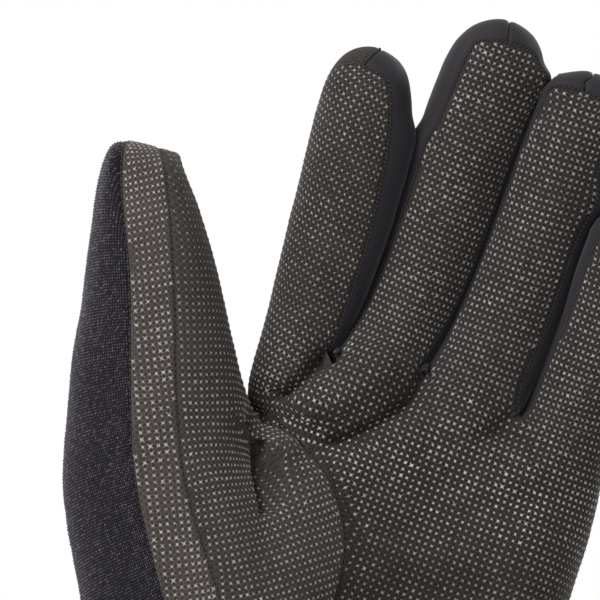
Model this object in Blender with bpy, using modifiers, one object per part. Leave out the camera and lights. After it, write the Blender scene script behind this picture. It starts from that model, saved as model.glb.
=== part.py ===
"""A full-finger cycling glove for the left hand, sewn from panels, in the shape it has when worn.

The palm faces -Y, the fingers point to +Z and the thumb is at -X. The origin is the centre of the
cuff's mouth. One coarse cage carries the whole outer surface. It is subdivided, split into the
sewn panels along its edge loops, and each panel gets its wall towards the inside of the hand.
"""

import math

import bmesh
import bpy
from mathutils import Vector

# Driving sizes in metres
PALM_WIDTH = 0.094
PALM_LENGTH = 0.100
PALM_DEPTH = 0.032
CUFF_LENGTH = 0.052
CUFF_WIDTH = 0.100
CUFF_DEPTH = 0.054
WRIST_WIDTH = 0.102
WRIST_DEPTH = 0.056
HEM_HEIGHT = 0.016
HEM_THICKNESS = 0.0008
THUMB_LENGTH = 0.061
THUMB_WIDTH = 0.046
THUMB_DEPTH = 0.036
INDEX_LENGTH = 0.078
MIDDLE_LENGTH = 0.0915
RING_LENGTH = 0.0865
LITTLE_LENGTH = 0.0625
FINGER_WIDTH = 0.0252
FINGER_DEPTH = 0.0225
LITTLE_WIDTH = 0.0210
FINGER_CURL = 0.014
THUMB_REACH = 0.00325
WALL = 0.0020
CUFF_WALL = 0.0020
SEAM_GAP = 0.0003
SUBDIVISIONS = 1

# Each side of a seam steps back by this share of the gap, because the step leans at corners
SEAM_SHARE = 0.62

# A ring drawn through eight cage points is smaller once it is subdivided
RING_SWELL = 1.075
SECTION_POWER = 2.35
WRIST_POWER = 2.2
CUFF_SIDES = 44
SHARP_ANGLE = 50

# The band of the cuff is drawn in a little: the heights of its outer and inner low lines, as shares
CUFF_DIP = 0.9
CUFF_WAIST = 0.5

# Heights of the hand are shares of the palm length above the cuff, places across it are shares of the
# palm width from the glove's middle line, and depths are shares of the palm depth, palm side negative
HAND_FIELDS = ("up", "left", "knit", "strip", "ridge", "valley", "mound", "seam", "right", "heel_corner")
HAND_ROWS = [
    (0.00, -0.543, -0.287, -0.096, -0.061, -0.026, 0.011, 0.048, 0.543, 0.49),
    (0.16, -0.617, -0.340, -0.160, -0.112, -0.064, -0.016, 0.032, 0.580, 0.53),
    (0.32, -0.695, -0.433, -0.248, -0.181, -0.117, -0.048, 0.016, 0.606, 0.56),
    (0.48, -0.777, -0.532, -0.378, -0.277, -0.202, -0.096, 0.022, 0.628, 0.58),
    (0.62, -0.808, -0.596, -0.474, -0.335, -0.262, -0.140, -0.004, 0.638, 0.59),
    (0.70, -0.821, -0.624, -0.500, -0.365, -0.300, -0.235, -0.176, 0.644, 0.59),
]
DEPTH_FIELDS = (
    ("thumb_middle", "front", "ridge", "valley", "mound", "seam", "palm", "heel")
    + ("side", "back", "back_edge")
)
DEPTH_ROWS = [
    (0.00, -0.80, -0.86, -0.87, -0.88, -0.88, -0.86, -0.72, 0.00, 0.88, 0.72),
    (-0.10, -0.86, -0.88, -0.86, -0.84, -0.79, -0.72, -0.67, -0.03, 0.73, 0.55),
    (-0.19, -0.91, -0.91, -0.87, -0.83, -0.69, -0.58, -0.64, -0.06, 0.61, 0.44),
    (-0.28, -0.95, -0.94, -0.83, -0.81, -0.59, -0.48, -0.58, -0.06, 0.54, 0.37),
    (-0.34, -0.98, -0.92, -0.58, -0.76, -0.53, -0.45, -0.53, -0.03, 0.50, 0.30),
    (-0.37, -1.00, -0.88, -0.32, -0.54, -0.51, -0.45, -0.50, -0.03, 0.48, 0.25),
]
BACK_EDGE = -0.345
THUMB_BACK_ANGLES = (66, 46, 29, 14)
PATCH_TOP = 0.785
PATCH_MOUND = 0.745
HEEL_DROP = 0.68

# Where the thumb's outer front corner lies between its outermost line and the front: across and deep
CORNER_ACROSS = 0.15
CORNER_DEEP = 0.58

# The part of a sine arch that the back of the hand follows from one edge to the other
BACK_ARCH = (0.12, 0.88)

# The palm above the thumb's crotch, from the index side to the little finger's side
CROTCH_ACROSS = (-0.309, -0.190, -0.085, 0.030, 0.142, 0.255, 0.370, 0.480, 0.585)
CROTCH_UP = (0.770, 0.845, 0.840, 0.830, 0.815, 0.800, 0.780, 0.760, 0.740)
CROTCH_FRONT = (-0.25, -0.42, -0.44, -0.45, -0.45, -0.46, -0.48, -0.47, -0.33)
UPPER_ACROSS = (-0.350, -0.262, -0.176, -0.054, 0.064, 0.197, 0.340, 0.479, 0.588)
UPPER_UP = (0.840, 0.862, 0.880, 0.895, 0.900, 0.890, 0.860, 0.820, 0.790)
UPPER_FRONT = (-0.30, -0.43, -0.42, -0.45, -0.42, -0.45, -0.42, -0.44, -0.30)
BASE_ACROSS = (-0.352, -0.262, -0.160, -0.045, 0.078, 0.212, 0.350, 0.488, 0.590)
BASE_UP = (0.965, 0.985, 0.985, 1.000, 1.010, 1.000, 0.965, 0.930, 0.900)
BASE_FRONT = (-0.27, -0.41, -0.29, -0.44, -0.29, -0.43, -0.28, -0.40, -0.25)
BACK_SHARE = 1.02
RADIAL_SIDE = (-0.326, -0.370, -0.370)
RADIAL_UP = (0.770, 0.850, 0.970)
ULNAR_SIDE = (0.644, 0.640, 0.634)
ULNAR_UP = (0.740, 0.790, 0.900)
RADIAL_BACK = (0.16, 0.22, 0.26)
SIDE_DEEP = -0.02

# The thumb's sections from its crotch to its tip: up along its length, middle, half width, and where
# its two seams lie between its edges, from -1 at the outside to 1 at the inside
THUMB_FIELDS = ("up", "middle", "half", "deep", "knit", "strip")
THUMB_ROWS = [
    (0.000, -0.584, 0.512, 1.00, -0.26, 0.24),
    (0.180, -0.617, 0.470, 1.00, -0.29, 0.27),
    (0.360, -0.652, 0.420, 0.98, -0.33, 0.31),
    (0.540, -0.690, 0.372, 0.94, -0.39, 0.35),
    (0.705, -0.728, 0.326, 0.88, -0.55, 0.45),
    (0.855, -0.765, 0.262, 0.80, -0.70, 0.60),
    (0.960, -0.787, 0.204, 0.70, -0.80, 0.68),
]
THUMB_TIP_UP = 1.015
THUMB_MIDDLE = -0.40

# The fingers' sections from foot to tip: up along the finger, middle as a share of the palm width, half
# width as a share of the finger's own width, half depth, and the angles of its two palm seams
FINGER_FIELDS = ("up", "middle", "half", "deep", "left_seam", "right_seam")
FINGER_ROWS = {
    "index": [
        (0.120, -0.245, 0.424, 0.98, 168, 42),
        (0.300, -0.237, 0.466, 1.00, 168, 45),
        (0.500, -0.232, 0.494, 1.00, 168, 49),
        (0.700, -0.236, 0.500, 0.98, 166, 55),
        (0.870, -0.247, 0.462, 0.90, 160, 58),
        (0.970, -0.250, 0.330, 0.66, 150, 52),
    ],
    "middle": [
        (0.120, -0.003, 0.429, 0.98, 170, 12),
        (0.300, 0.020, 0.444, 1.00, 167, 12),
        (0.500, 0.029, 0.464, 1.00, 152, 12),
        (0.700, 0.032, 0.492, 0.98, 134, 12),
        (0.870, 0.054, 0.522, 0.90, 129, 14),
        (0.970, 0.061, 0.380, 0.66, 130, 28),
    ],
    "ring": [
        (0.120, 0.244, 0.495, 0.98, 170, 38),
        (0.300, 0.276, 0.464, 1.00, 170, 38),
        (0.500, 0.286, 0.442, 1.00, 170, 34),
        (0.700, 0.302, 0.456, 0.98, 168, 40),
        (0.870, 0.317, 0.462, 0.90, 160, 44),
        (0.970, 0.314, 0.350, 0.66, 150, 48),
    ],
    "little": [
        (0.120, 0.500, 0.548, 0.98, 168, 12),
        (0.300, 0.512, 0.520, 1.00, 168, 12),
        (0.500, 0.524, 0.495, 1.00, 166, 12),
        (0.700, 0.527, 0.485, 0.98, 162, 12),
        (0.870, 0.528, 0.450, 0.90, 156, 16),
        (0.970, 0.532, 0.310, 0.66, 146, 30),
    ],
}
FINGER_TIP_UP = 1.032
FINGER_BACK_ANGLE = 48

# Each finger's name, length, width, foot height and foot depth, from the index outwards
FINGERS = [
    ("index", INDEX_LENGTH, FINGER_WIDTH, 0.980, -0.02),
    ("middle", MIDDLE_LENGTH, FINGER_WIDTH, 1.000, 0.01),
    ("ring", RING_LENGTH, FINGER_WIDTH, 0.980, 0.01),
    ("little", LITTLE_LENGTH, LITTLE_WIDTH, 0.920, -0.02),
]

# Folds of the soft palm: start and end across and up, half width as a share of the palm width, and
# depth as a share of the palm depth, negative for a crease
FOLDS = [
    (-0.20, 0.98, -0.28, 0.84, 0.050, -0.055),
    (0.06, 0.93, -0.16, 0.78, 0.060, -0.075),
    (0.00, 0.98, -0.18, 0.88, 0.070, 0.040),
    (0.34, 0.90, 0.20, 0.72, 0.060, -0.050),
    (0.36, 0.50, 0.05, 0.40, 0.070, -0.050),
    (0.42, 0.62, 0.10, 0.54, 0.080, 0.035),
]

PALM_COLUMNS = 9
HAND_NAMES = (
    ["b3", "b2", "b1", "b0", "l", "f0", "f1", "f2", "f3", "v", "g"]
    + [f"F{i}" for i in range(PALM_COLUMNS)]
    + ["U"]
    + [f"B{i}" for i in reversed(range(PALM_COLUMNS))]
)
UPPER_NAMES = (
    [f"F{i}" for i in range(PALM_COLUMNS)]
    + ["U"]
    + [f"B{i}" for i in reversed(range(PALM_COLUMNS))]
    + ["R"]
)
THUMB_NAMES = ["l", "f0", "f1", "f2", "f3", "v", "g", "F0", "R", "B0", "b3", "b2", "b1", "b0"]
FINGER_NAMES = ["P0", "P1", "P2", "SR", "B2", "B1", "B0", "SL"]

PANELS = [
    "palm_panel",
    "thumb_strip",
    "thumb_palm_panel",
    "web_patch",
    "thumb_knit_panel",
    "fourchette_index_middle",
    "fourchette_middle_ring",
    "fourchette_ring_little",
    "back_panel",
]
PANEL_LOOKS = {
    "palm_panel": ((0.048, 0.040, 0.035, 1), 0.75),
    "thumb_strip": ((0.062, 0.052, 0.043, 1), 0.75),
    "thumb_palm_panel": ((0.060, 0.050, 0.042, 1), 0.75),
    "web_patch": ((0.045, 0.038, 0.034, 1), 0.78),
    "thumb_knit_panel": ((0.038, 0.034, 0.045, 1), 0.92),
    "fourchette_index_middle": ((0.028, 0.028, 0.034, 1), 0.62),
    "fourchette_middle_ring": ((0.028, 0.028, 0.034, 1), 0.62),
    "fourchette_ring_little": ((0.028, 0.028, 0.034, 1), 0.62),
    "back_panel": ((0.026, 0.026, 0.031, 1), 0.66),
    "cuff": ((0.024, 0.024, 0.028, 1), 0.80),
}


def clear_scene():
    for item in list(bpy.data.objects):
        bpy.data.objects.remove(item, do_unlink=True)


def make_collection(name):
    collection = bpy.data.collections.new(name)
    bpy.context.scene.collection.children.link(collection)
    return collection


def make_material(name):
    colour, roughness = PANEL_LOOKS[name]
    material = bpy.data.materials.new(name)
    material.use_nodes = True
    shader = material.node_tree.nodes["Principled BSDF"]
    shader.inputs["Base Color"].default_value = colour
    shader.inputs["Roughness"].default_value = roughness
    shader.inputs["Metallic"].default_value = 0.0
    return material


def lerp(a, b, share):
    return a + (b - a) * share


def hand_point(across, up, deep):
    """A point from shares of the palm's width, length and depth."""
    return Vector((across * PALM_WIDTH, deep * PALM_DEPTH, CUFF_LENGTH + up * PALM_LENGTH))


def superellipse(angle, half_width, half_depth, power):
    """A point across and towards the palm on a rounded section. Angle 0 is +X and 90 is the palm side."""
    c = math.cos(math.radians(angle))
    s = math.sin(math.radians(angle))
    across = math.copysign(abs(c) ** (2 / power), c) * half_width
    deep = -math.copysign(abs(s) ** (2 / power), s) * half_depth
    return across, deep


class Cage:
    """The coarse surface: named points, and faces that know which panel they belong to."""

    def __init__(self):
        self.points = []
        self.faces = []

    def add(self, point):
        self.points.append(Vector(point))
        return len(self.points) - 1

    def ring(self, names, points):
        return {name: self.add(points[name]) for name in names}

    def bridge(self, names, low, high, panel_of):
        for i, name in enumerate(names):
            other = names[(i + 1) % len(names)]
            quad = (low[name], low[other], high[other], high[name])
            self.faces.append((quad, panel_of(name, other)))


def hand_row(row, depth):
    """The points round the hand below the thumb's crotch, by name."""
    place = dict(zip(HAND_FIELDS, row))
    deep = dict(zip(DEPTH_FIELDS, depth))
    up = place["up"]
    last = HAND_ROWS[-1][0] == up
    points = {"l": hand_point(place["left"], up, deep["thumb_middle"])}
    corner_across = lerp(place["left"], place["knit"], CORNER_ACROSS)
    points["f0"] = hand_point(corner_across, up, lerp(deep["thumb_middle"], deep["front"], CORNER_DEEP))
    points["f1"] = hand_point(place["knit"], up, deep["front"])
    points["f2"] = hand_point(place["strip"], up, deep["front"])
    points["f3"] = hand_point(place["ridge"], up, deep["ridge"])
    points["v"] = hand_point(place["valley"], up, deep["valley"])
    points["g"] = hand_point(place["mound"], PATCH_MOUND if last else up, deep["mound"])
    seam_up = PATCH_TOP if last else up
    fronts = [
        deep["seam"],
        lerp(deep["seam"], deep["palm"], 0.5),
        deep["palm"],
        deep["palm"],
        deep["palm"],
        lerp(deep["palm"], deep["heel"], 0.5),
        deep["heel"],
        deep["heel"],
        deep["heel"] * HEEL_DROP,
    ]
    for i in range(PALM_COLUMNS):
        share = i / (PALM_COLUMNS - 1)
        across = lerp(place["seam"], place["heel_corner"], share)
        points[f"F{i}"] = hand_point(across, lerp(seam_up, up, share), fronts[i])
        arch = math.sqrt(math.sin(math.pi * lerp(*BACK_ARCH, share)))
        back = lerp(deep["back_edge"], deep["back"], arch)
        points[f"B{i}"] = hand_point(lerp(BACK_EDGE, place["heel_corner"], share), up, back)
    points["U"] = hand_point(place["right"], up, deep["side"])
    for i, angle in enumerate(THUMB_BACK_ANGLES):
        s = math.sin(math.radians(angle))
        c = math.cos(math.radians(angle))
        across = lerp(BACK_EDGE, place["left"], s)
        points[f"b{i}"] = hand_point(across, up, lerp(deep["thumb_middle"], deep["back_edge"], c))
    if up == 0:
        points = {name: wrist_point(point) for name, point in points.items()}
    return points


def wrist_point(point):
    """Slides a point of the lowest row onto the rounded section where the cuff is sewn on."""
    across = max(-1.0, min(1.0, point.x / (WRIST_WIDTH / 2)))
    side = math.copysign(1.0, point.y) if abs(across) < 1.0 else 0.0
    deep = (1 - abs(across) ** WRIST_POWER) ** (1 / WRIST_POWER)
    return Vector((across * WRIST_WIDTH / 2, side * deep * WRIST_DEPTH / 2, point.z))


def upper_row(index, across, ups, fronts):
    """The points round the palm between the thumb's crotch and the fingers, by name."""
    points = {}
    for i in range(PALM_COLUMNS):
        points[f"F{i}"] = hand_point(across[i], ups[i], fronts[i])
        back = -fronts[i] * BACK_SHARE if i else RADIAL_BACK[index]
        points[f"B{i}"] = hand_point(across[i], ups[i], back)
    points["R"] = hand_point(RADIAL_SIDE[index], RADIAL_UP[index], SIDE_DEEP)
    points["U"] = hand_point(ULNAR_SIDE[index], ULNAR_UP[index], SIDE_DEEP)
    return points


THUMB_ANGLES = {"l": 180, "f0": 146, "f3": 52, "v": 32, "g": 15, "F0": -2, "R": -18, "B0": -36}
THUMB_ANGLES.update({"b3": -60, "b2": -88, "b1": -118, "b0": -150})


def thumb_ring(row):
    """The points round the thumb above its crotch, by name."""
    place = dict(zip(THUMB_FIELDS, row))
    half_width = place["half"] * THUMB_WIDTH
    half_depth = place["deep"] * THUMB_DEPTH / 2
    angles = dict(THUMB_ANGLES)
    for name, seam in (("f1", place["knit"]), ("f2", place["strip"])):
        power_angle = math.copysign(abs(seam) ** (SECTION_POWER / 2), seam)
        angles[name] = math.degrees(math.acos(power_angle))
    middle = Vector((place["middle"] * PALM_WIDTH, THUMB_MIDDLE * PALM_DEPTH, 0))
    middle.y -= THUMB_REACH * place["up"]
    middle.z = thumb_height(place["up"])
    points = {}
    for name in THUMB_NAMES:
        across, deep = superellipse(angles[name], half_width, half_depth, SECTION_POWER)
        points[name] = middle + Vector((across, deep, 0))
    return points


def thumb_height(share):
    return CUFF_LENGTH + CROTCH_UP[0] * PALM_LENGTH + share * THUMB_LENGTH


def finger_middle(index, across, share):
    """The middle of a finger's section at a share of its length."""
    _, length, _, foot_up, foot_deep = FINGERS[index]
    foot = hand_point(across, foot_up, foot_deep)
    foot.z += share * length
    foot.y -= FINGER_CURL * share * share
    return foot


def finger_ring(index, row):
    """The eight points round a finger, by name. The section leans forward with the finger's curl."""
    _, length, width, _, _ = FINGERS[index]
    place = dict(zip(FINGER_FIELDS, row))
    left = place["left_seam"]
    right = place["right_seam"]
    back = -FINGER_BACK_ANGLE
    angles = {"P0": left, "P1": (left + right) / 2, "P2": right, "SR": (right + back) / 2}
    angles.update({"B2": back, "B1": -90, "B0": -180 - back, "SL": (left + 180 - back) / 2})
    middle = finger_middle(index, place["middle"], place["up"])
    half_width = place["half"] * width * RING_SWELL
    half_depth = place["deep"] * FINGER_DEPTH / 2 * RING_SWELL
    lean = 2 * FINGER_CURL * place["up"] / length
    points = {}
    for name in FINGER_NAMES:
        across, deep = superellipse(angles[name], half_width, half_depth, SECTION_POWER)
        points[name] = middle + Vector((across, deep, deep * lean))
    return points


def hand_panel(name, other):
    if name in ("b3", "b2", "b1", "b0", "l", "f0") or (name, other) == ("B0", "b3"):
        return "thumb_knit_panel"
    if name == "f1":
        return "thumb_strip"
    if name in ("f2", "f3", "v", "g"):
        return "thumb_palm_panel"
    if name.startswith("B"):
        return "back_panel"
    return "palm_panel"


def upper_panel(name, other):
    return "back_panel" if name.startswith("B") and other.startswith("B") else "palm_panel"


def web_panel(name, other):
    return "web_patch" if name in ("F0", "R") or other == "R" else upper_panel(name, other)


def thumb_panel(name, other):
    if name == "f1":
        return "thumb_strip"
    if name in ("f2", "f3", "v", "g", "F0", "R"):
        return "thumb_palm_panel"
    return "thumb_knit_panel"


def finger_sides(index):
    strips = ["palm_panel", "fourchette_index_middle", "fourchette_middle_ring", "fourchette_ring_little"]
    strips.append("palm_panel")
    return strips[index], strips[index + 1]


def finger_panel_of(index):
    left, right = finger_sides(index)

    def panel_of(name, other):
        if name in ("P0", "P1"):
            return "palm_panel"
        if name in ("P2", "SR"):
            return right
        if name in ("B2", "B1"):
            return "back_panel"
        return left

    return panel_of


def add_thumb(cage, crotch_ring):
    ring = {name: crotch_ring[name] for name in THUMB_NAMES}
    for row in THUMB_ROWS[1:]:
        above = cage.ring(THUMB_NAMES, thumb_ring(row))
        cage.bridge(THUMB_NAMES, ring, above, thumb_panel)
        ring = above
    front = [ring[name] for name in ("f0", "f1", "f2", "f3", "v", "g")]
    back = [ring[name] for name in ("b0", "b1", "b2", "b3", "B0", "R")]
    middle = [ring["l"]]
    for near, far in zip(front[1:-1], back[1:-1]):
        point = (cage.points[near] + cage.points[far]) / 2
        point.z = thumb_height(THUMB_TIP_UP)
        middle.append(cage.add(point))
    middle.append(ring["F0"])
    panels = ["thumb_knit_panel", "thumb_strip"] + ["thumb_palm_panel"] * 3
    for i, panel in enumerate(panels):
        cage.faces.append(((front[i], front[i + 1], middle[i + 1], middle[i]), panel))
        behind = "thumb_knit_panel" if i < 3 else "thumb_palm_panel"
        cage.faces.append(((middle[i], middle[i + 1], back[i + 1], back[i]), behind))


def add_finger(cage, index, base, crotches):
    rows = FINGER_ROWS[FINGERS[index][0]]
    first = 2 * index
    ring = {
        "P0": base[f"F{first}"],
        "P1": base[f"F{first + 1}"],
        "P2": base[f"F{first + 2}"],
        "SR": crotches[index + 1],
        "B2": base[f"B{first + 2}"],
        "B1": base[f"B{first + 1}"],
        "B0": base[f"B{first}"],
        "SL": crotches[index],
    }
    for row in rows:
        above = cage.ring(FINGER_NAMES, finger_ring(index, row))
        cage.bridge(FINGER_NAMES, ring, above, finger_panel_of(index))
        ring = above
    last = dict(zip(FINGER_FIELDS, rows[-1]))
    top = cage.add(finger_middle(index, last["middle"], FINGER_TIP_UP))
    left, right = finger_sides(index)
    cage.faces.append(((ring["P0"], ring["P1"], top, ring["SL"]), left))
    cage.faces.append(((ring["SL"], top, ring["B1"], ring["B0"]), left))
    cage.faces.append(((ring["P1"], ring["P2"], ring["SR"], top), right))
    cage.faces.append(((top, ring["SR"], ring["B2"], ring["B1"]), right))


def make_cage():
    cage = Cage()
    low = None
    for row, depth in zip(HAND_ROWS, DEPTH_ROWS):
        ring = cage.ring(HAND_NAMES, hand_row(row, depth))
        if low:
            cage.bridge(HAND_NAMES, low, ring, hand_panel)
        low = ring
    crotch_points = upper_row(0, CROTCH_ACROSS, CROTCH_UP, CROTCH_FRONT)
    thumb_points = thumb_ring(THUMB_ROWS[0])
    for name in ("F0", "R", "B0"):
        thumb_points[name] = crotch_points[name]
    crotch_points.update(thumb_points)
    names = HAND_NAMES + ["R"]
    crotch = cage.ring(names, crotch_points)
    cage.bridge(HAND_NAMES, low, crotch, hand_panel)
    add_thumb(cage, crotch)
    upper = cage.ring(UPPER_NAMES, upper_row(1, UPPER_ACROSS, UPPER_UP, UPPER_FRONT))
    cage.bridge(UPPER_NAMES, crotch, upper, web_panel)
    base = cage.ring(UPPER_NAMES, upper_row(2, BASE_ACROSS, BASE_UP, BASE_FRONT))
    cage.bridge(UPPER_NAMES, upper, base, upper_panel)
    crotches = [base["R"]]
    for i in (2, 4, 6):
        crotches.append(cage.add((cage.points[base[f"F{i}"]] + cage.points[base[f"B{i}"]]) / 2))
    crotches.append(base["U"])
    for index in range(4):
        add_finger(cage, index, base, crotches)
    return cage


def smooth_surface(cage):
    """The cage as one mesh under a Subdivision Surface modifier, read back as a bmesh."""
    mesh = bpy.data.meshes.new("glove_cage")
    mesh.from_pydata([tuple(p) for p in cage.points], [], [list(f) for f, _ in cage.faces])
    for polygon, (_, panel) in zip(mesh.polygons, cage.faces):
        polygon.material_index = PANELS.index(panel)
    for _ in PANELS:
        mesh.materials.append(None)
    guide = bpy.data.objects.new("glove_cage", mesh)
    bpy.context.scene.collection.objects.link(guide)
    subdivision = guide.modifiers.new("subdivision", "SUBSURF")
    subdivision.levels = SUBDIVISIONS
    subdivision.render_levels = SUBDIVISIONS
    graph = bpy.context.evaluated_depsgraph_get()
    smooth = bpy.data.meshes.new_from_object(guide.evaluated_get(graph))
    surface = bmesh.new()
    surface.from_mesh(smooth)
    bmesh.ops.recalc_face_normals(surface, faces=surface.faces)
    foremost = min(surface.faces, key=lambda face: face.calc_center_median().y)
    if foremost.normal.y > 0:
        bmesh.ops.reverse_faces(surface, faces=surface.faces)
    bpy.data.objects.remove(guide, do_unlink=True)
    bpy.data.meshes.remove(mesh)
    bpy.data.meshes.remove(smooth)
    return surface


def fold_height(point):
    """How far the folds of the palm lift a point of its front."""
    total = 0.0
    for x1, z1, x2, z2, width, height in FOLDS:
        a = Vector((x1 * PALM_WIDTH, z1 * PALM_LENGTH + CUFF_LENGTH))
        b = Vector((x2 * PALM_WIDTH, z2 * PALM_LENGTH + CUFF_LENGTH))
        p = Vector((point.x, point.z))
        share = max(0.0, min(1.0, (p - a).dot(b - a) / (b - a).length_squared))
        distance = (p - lerp(a, b, share)).length / (width * PALM_WIDTH)
        total += height * PALM_DEPTH * math.exp(-distance * distance)
    return total


def add_folds(surface):
    surface.normal_update()
    moves = []
    for vert in surface.verts:
        facing = max(0.0, -vert.normal.y)
        moves.append(vert.normal * fold_height(vert.co) * facing)
    for vert, move in zip(surface.verts, moves):
        vert.co += move
    surface.normal_update()


def seam_shift(vert, faces):
    """Half the seam gap, along the surface, away from the panel's edge."""
    towards = Vector((0, 0, 0))
    for face in faces:
        towards += (face.calc_center_median() - vert.co).normalized()
    towards -= vert.normal * towards.dot(vert.normal)
    return towards.normalized() * SEAM_GAP * SEAM_SHARE


def make_panel(name, surface, collection):
    """One sewn panel: its part of the surface, and its wall towards the hand.

    The seam faces of two neighbours are split along the same diagonal, so the gap between them holds.
    """
    index = PANELS.index(name)
    faces = [face for face in surface.faces if face.material_index == index]
    around = {}
    for face in faces:
        for vert in face.verts:
            around.setdefault(vert, []).append(face)
    edges = {}
    for face in faces:
        for loop in face.loops:
            pair = (loop.vert, loop.link_loop_next.vert)
            edges[pair] = True
    rim = [pair for pair in edges if (pair[1], pair[0]) not in edges]
    rim_verts = {vert for pair in rim for vert in pair}
    panel = bmesh.new()
    outside = {}
    inside = {}
    for vert, linked in around.items():
        shared = len(linked) < len(vert.link_faces)
        shift = seam_shift(vert, linked) if vert in rim_verts and shared else Vector((0, 0, 0))
        outside[vert] = panel.verts.new(vert.co + shift)
        inward = vert.normal * WALL
        if vert.is_boundary:
            inward = Vector((inward.x, inward.y, 0)).normalized() * WALL
        inside[vert] = panel.verts.new(vert.co + shift - inward)
    for face in faces:
        panel.faces.new([outside[vert] for vert in face.verts])
        panel.faces.new([inside[vert] for vert in reversed(face.verts)])
    for a, b in rim:
        if a.index < b.index:
            panel.faces.new([outside[b], outside[a], inside[b]])
            panel.faces.new([outside[a], inside[a], inside[b]])
        else:
            panel.faces.new([outside[b], outside[a], inside[a]])
            panel.faces.new([outside[b], inside[a], inside[b]])
    return finish_piece(name, panel, collection)


def finish_piece(name, shape, collection):
    mesh = bpy.data.meshes.new(name)
    shape.to_mesh(mesh)
    shape.free()
    mesh.materials.append(make_material(name))
    mesh.shade_smooth()
    mesh.set_sharp_from_angle(angle=math.radians(SHARP_ANGLE))
    piece = bpy.data.objects.new(name, mesh)
    collection.objects.link(piece)
    return piece


def cuff_section(shape, height, width, depth):
    """One closed loop of the cuff, at a height above its mouth."""
    loop = []
    for i in range(CUFF_SIDES):
        across, deep = superellipse(360 * i / CUFF_SIDES, width / 2, depth / 2, WRIST_POWER)
        loop.append(shape.verts.new((across, deep, height)))
    return loop


def make_cuff(collection):
    """The plain band below the wrist, with a thicker hem round its mouth."""
    top = CUFF_LENGTH - SEAM_GAP
    hem_step = HEM_HEIGHT + HEM_THICKNESS
    waist = CUFF_WAIST * CUFF_LENGTH

    def size_at(height):
        share = height / CUFF_LENGTH
        return lerp(CUFF_WIDTH, WRIST_WIDTH, share), lerp(CUFF_DEPTH, WRIST_DEPTH, share)

    outline = [
        (0, HEM_THICKNESS),
        (HEM_HEIGHT, HEM_THICKNESS),
        (hem_step, 0),
        (lerp(hem_step, waist, CUFF_DIP), -HEM_THICKNESS),
        (top, 0),
        (top, -CUFF_WALL),
        (waist, -CUFF_WALL - HEM_THICKNESS),
        (0, -CUFF_WALL),
    ]
    shape = bmesh.new()
    loops = []
    for height, outwards in outline:
        width, depth = size_at(height)
        loops.append(cuff_section(shape, height, width + 2 * outwards, depth + 2 * outwards))
    for i, loop in enumerate(loops):
        after = loops[(i + 1) % len(loops)]
        for j in range(CUFF_SIDES):
            k = (j + 1) % CUFF_SIDES
            shape.faces.new((loop[j], loop[k], after[k], after[j]))
    bmesh.ops.recalc_face_normals(shape, faces=shape.faces)
    return finish_piece("cuff", shape, collection)


def main():
    clear_scene()
    glove = make_collection("cycling_glove")
    surface = smooth_surface(make_cage())
    add_folds(surface)
    for name in PANELS:
        make_panel(name, surface, glove)
    surface.free()
    make_cuff(glove)


main()
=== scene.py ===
"""The looks of a full-finger cycling glove: dotted grip cloth, ribbed knit, softshell, seams and thread.

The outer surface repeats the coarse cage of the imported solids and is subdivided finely. It is split
into the sewn panels, creased, rolled in at the seams, and dressed with grip dots, knit loops and
stitches. Each panel's cloth is unrolled flat, so that its dots and loops follow the weave.
"""

import math

import bpy
import numpy as np
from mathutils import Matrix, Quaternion, Vector, kdtree, noise


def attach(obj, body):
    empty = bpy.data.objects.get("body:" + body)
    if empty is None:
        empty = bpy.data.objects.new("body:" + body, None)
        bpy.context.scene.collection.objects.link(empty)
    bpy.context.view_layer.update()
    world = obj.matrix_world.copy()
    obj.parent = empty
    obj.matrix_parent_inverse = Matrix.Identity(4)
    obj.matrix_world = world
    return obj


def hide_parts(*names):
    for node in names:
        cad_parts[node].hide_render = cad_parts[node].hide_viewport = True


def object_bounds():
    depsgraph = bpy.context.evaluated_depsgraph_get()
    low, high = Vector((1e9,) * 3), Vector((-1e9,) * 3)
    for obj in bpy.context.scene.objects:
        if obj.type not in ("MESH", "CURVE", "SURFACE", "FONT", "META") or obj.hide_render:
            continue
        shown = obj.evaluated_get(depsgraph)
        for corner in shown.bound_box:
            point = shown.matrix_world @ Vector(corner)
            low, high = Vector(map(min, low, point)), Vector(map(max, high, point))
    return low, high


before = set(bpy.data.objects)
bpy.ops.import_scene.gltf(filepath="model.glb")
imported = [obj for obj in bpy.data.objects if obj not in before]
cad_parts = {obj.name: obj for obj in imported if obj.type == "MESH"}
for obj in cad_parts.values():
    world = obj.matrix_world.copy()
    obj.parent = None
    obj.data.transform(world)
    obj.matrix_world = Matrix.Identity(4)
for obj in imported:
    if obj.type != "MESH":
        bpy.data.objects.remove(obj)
cad_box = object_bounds()

MM = 0.001

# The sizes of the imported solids, in metres
PALM_WIDTH = 0.094
PALM_LENGTH = 0.100
PALM_DEPTH = 0.032
CUFF_LENGTH = 0.052
CUFF_WIDTH = 0.100
CUFF_DEPTH = 0.054
WRIST_WIDTH = 0.102
WRIST_DEPTH = 0.056
HEM_HEIGHT = 0.016
HEM_THICKNESS = 0.0008
THUMB_LENGTH = 0.061
THUMB_WIDTH = 0.046
THUMB_DEPTH = 0.036
INDEX_LENGTH = 0.078
MIDDLE_LENGTH = 0.0915
RING_LENGTH = 0.0865
LITTLE_LENGTH = 0.0625
FINGER_WIDTH = 0.0252
FINGER_DEPTH = 0.0225
LITTLE_WIDTH = 0.0210
FINGER_CURL = 0.014
THUMB_REACH = 0.00325
CUFF_WALL = 0.0020
SEAM_GAP = 0.0003

# How finely the outer cloth and its inner side are subdivided
SKIN_LEVEL = 4
LINING_LEVEL = 2

# A ring drawn through eight cage points is smaller once it is subdivided
RING_SWELL = 1.09

# Exponents of the rounded sections: 2 is an ellipse, and more is squarer
SECTION_POWER = 2.35
WRIST_POWER = 2.2

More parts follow.
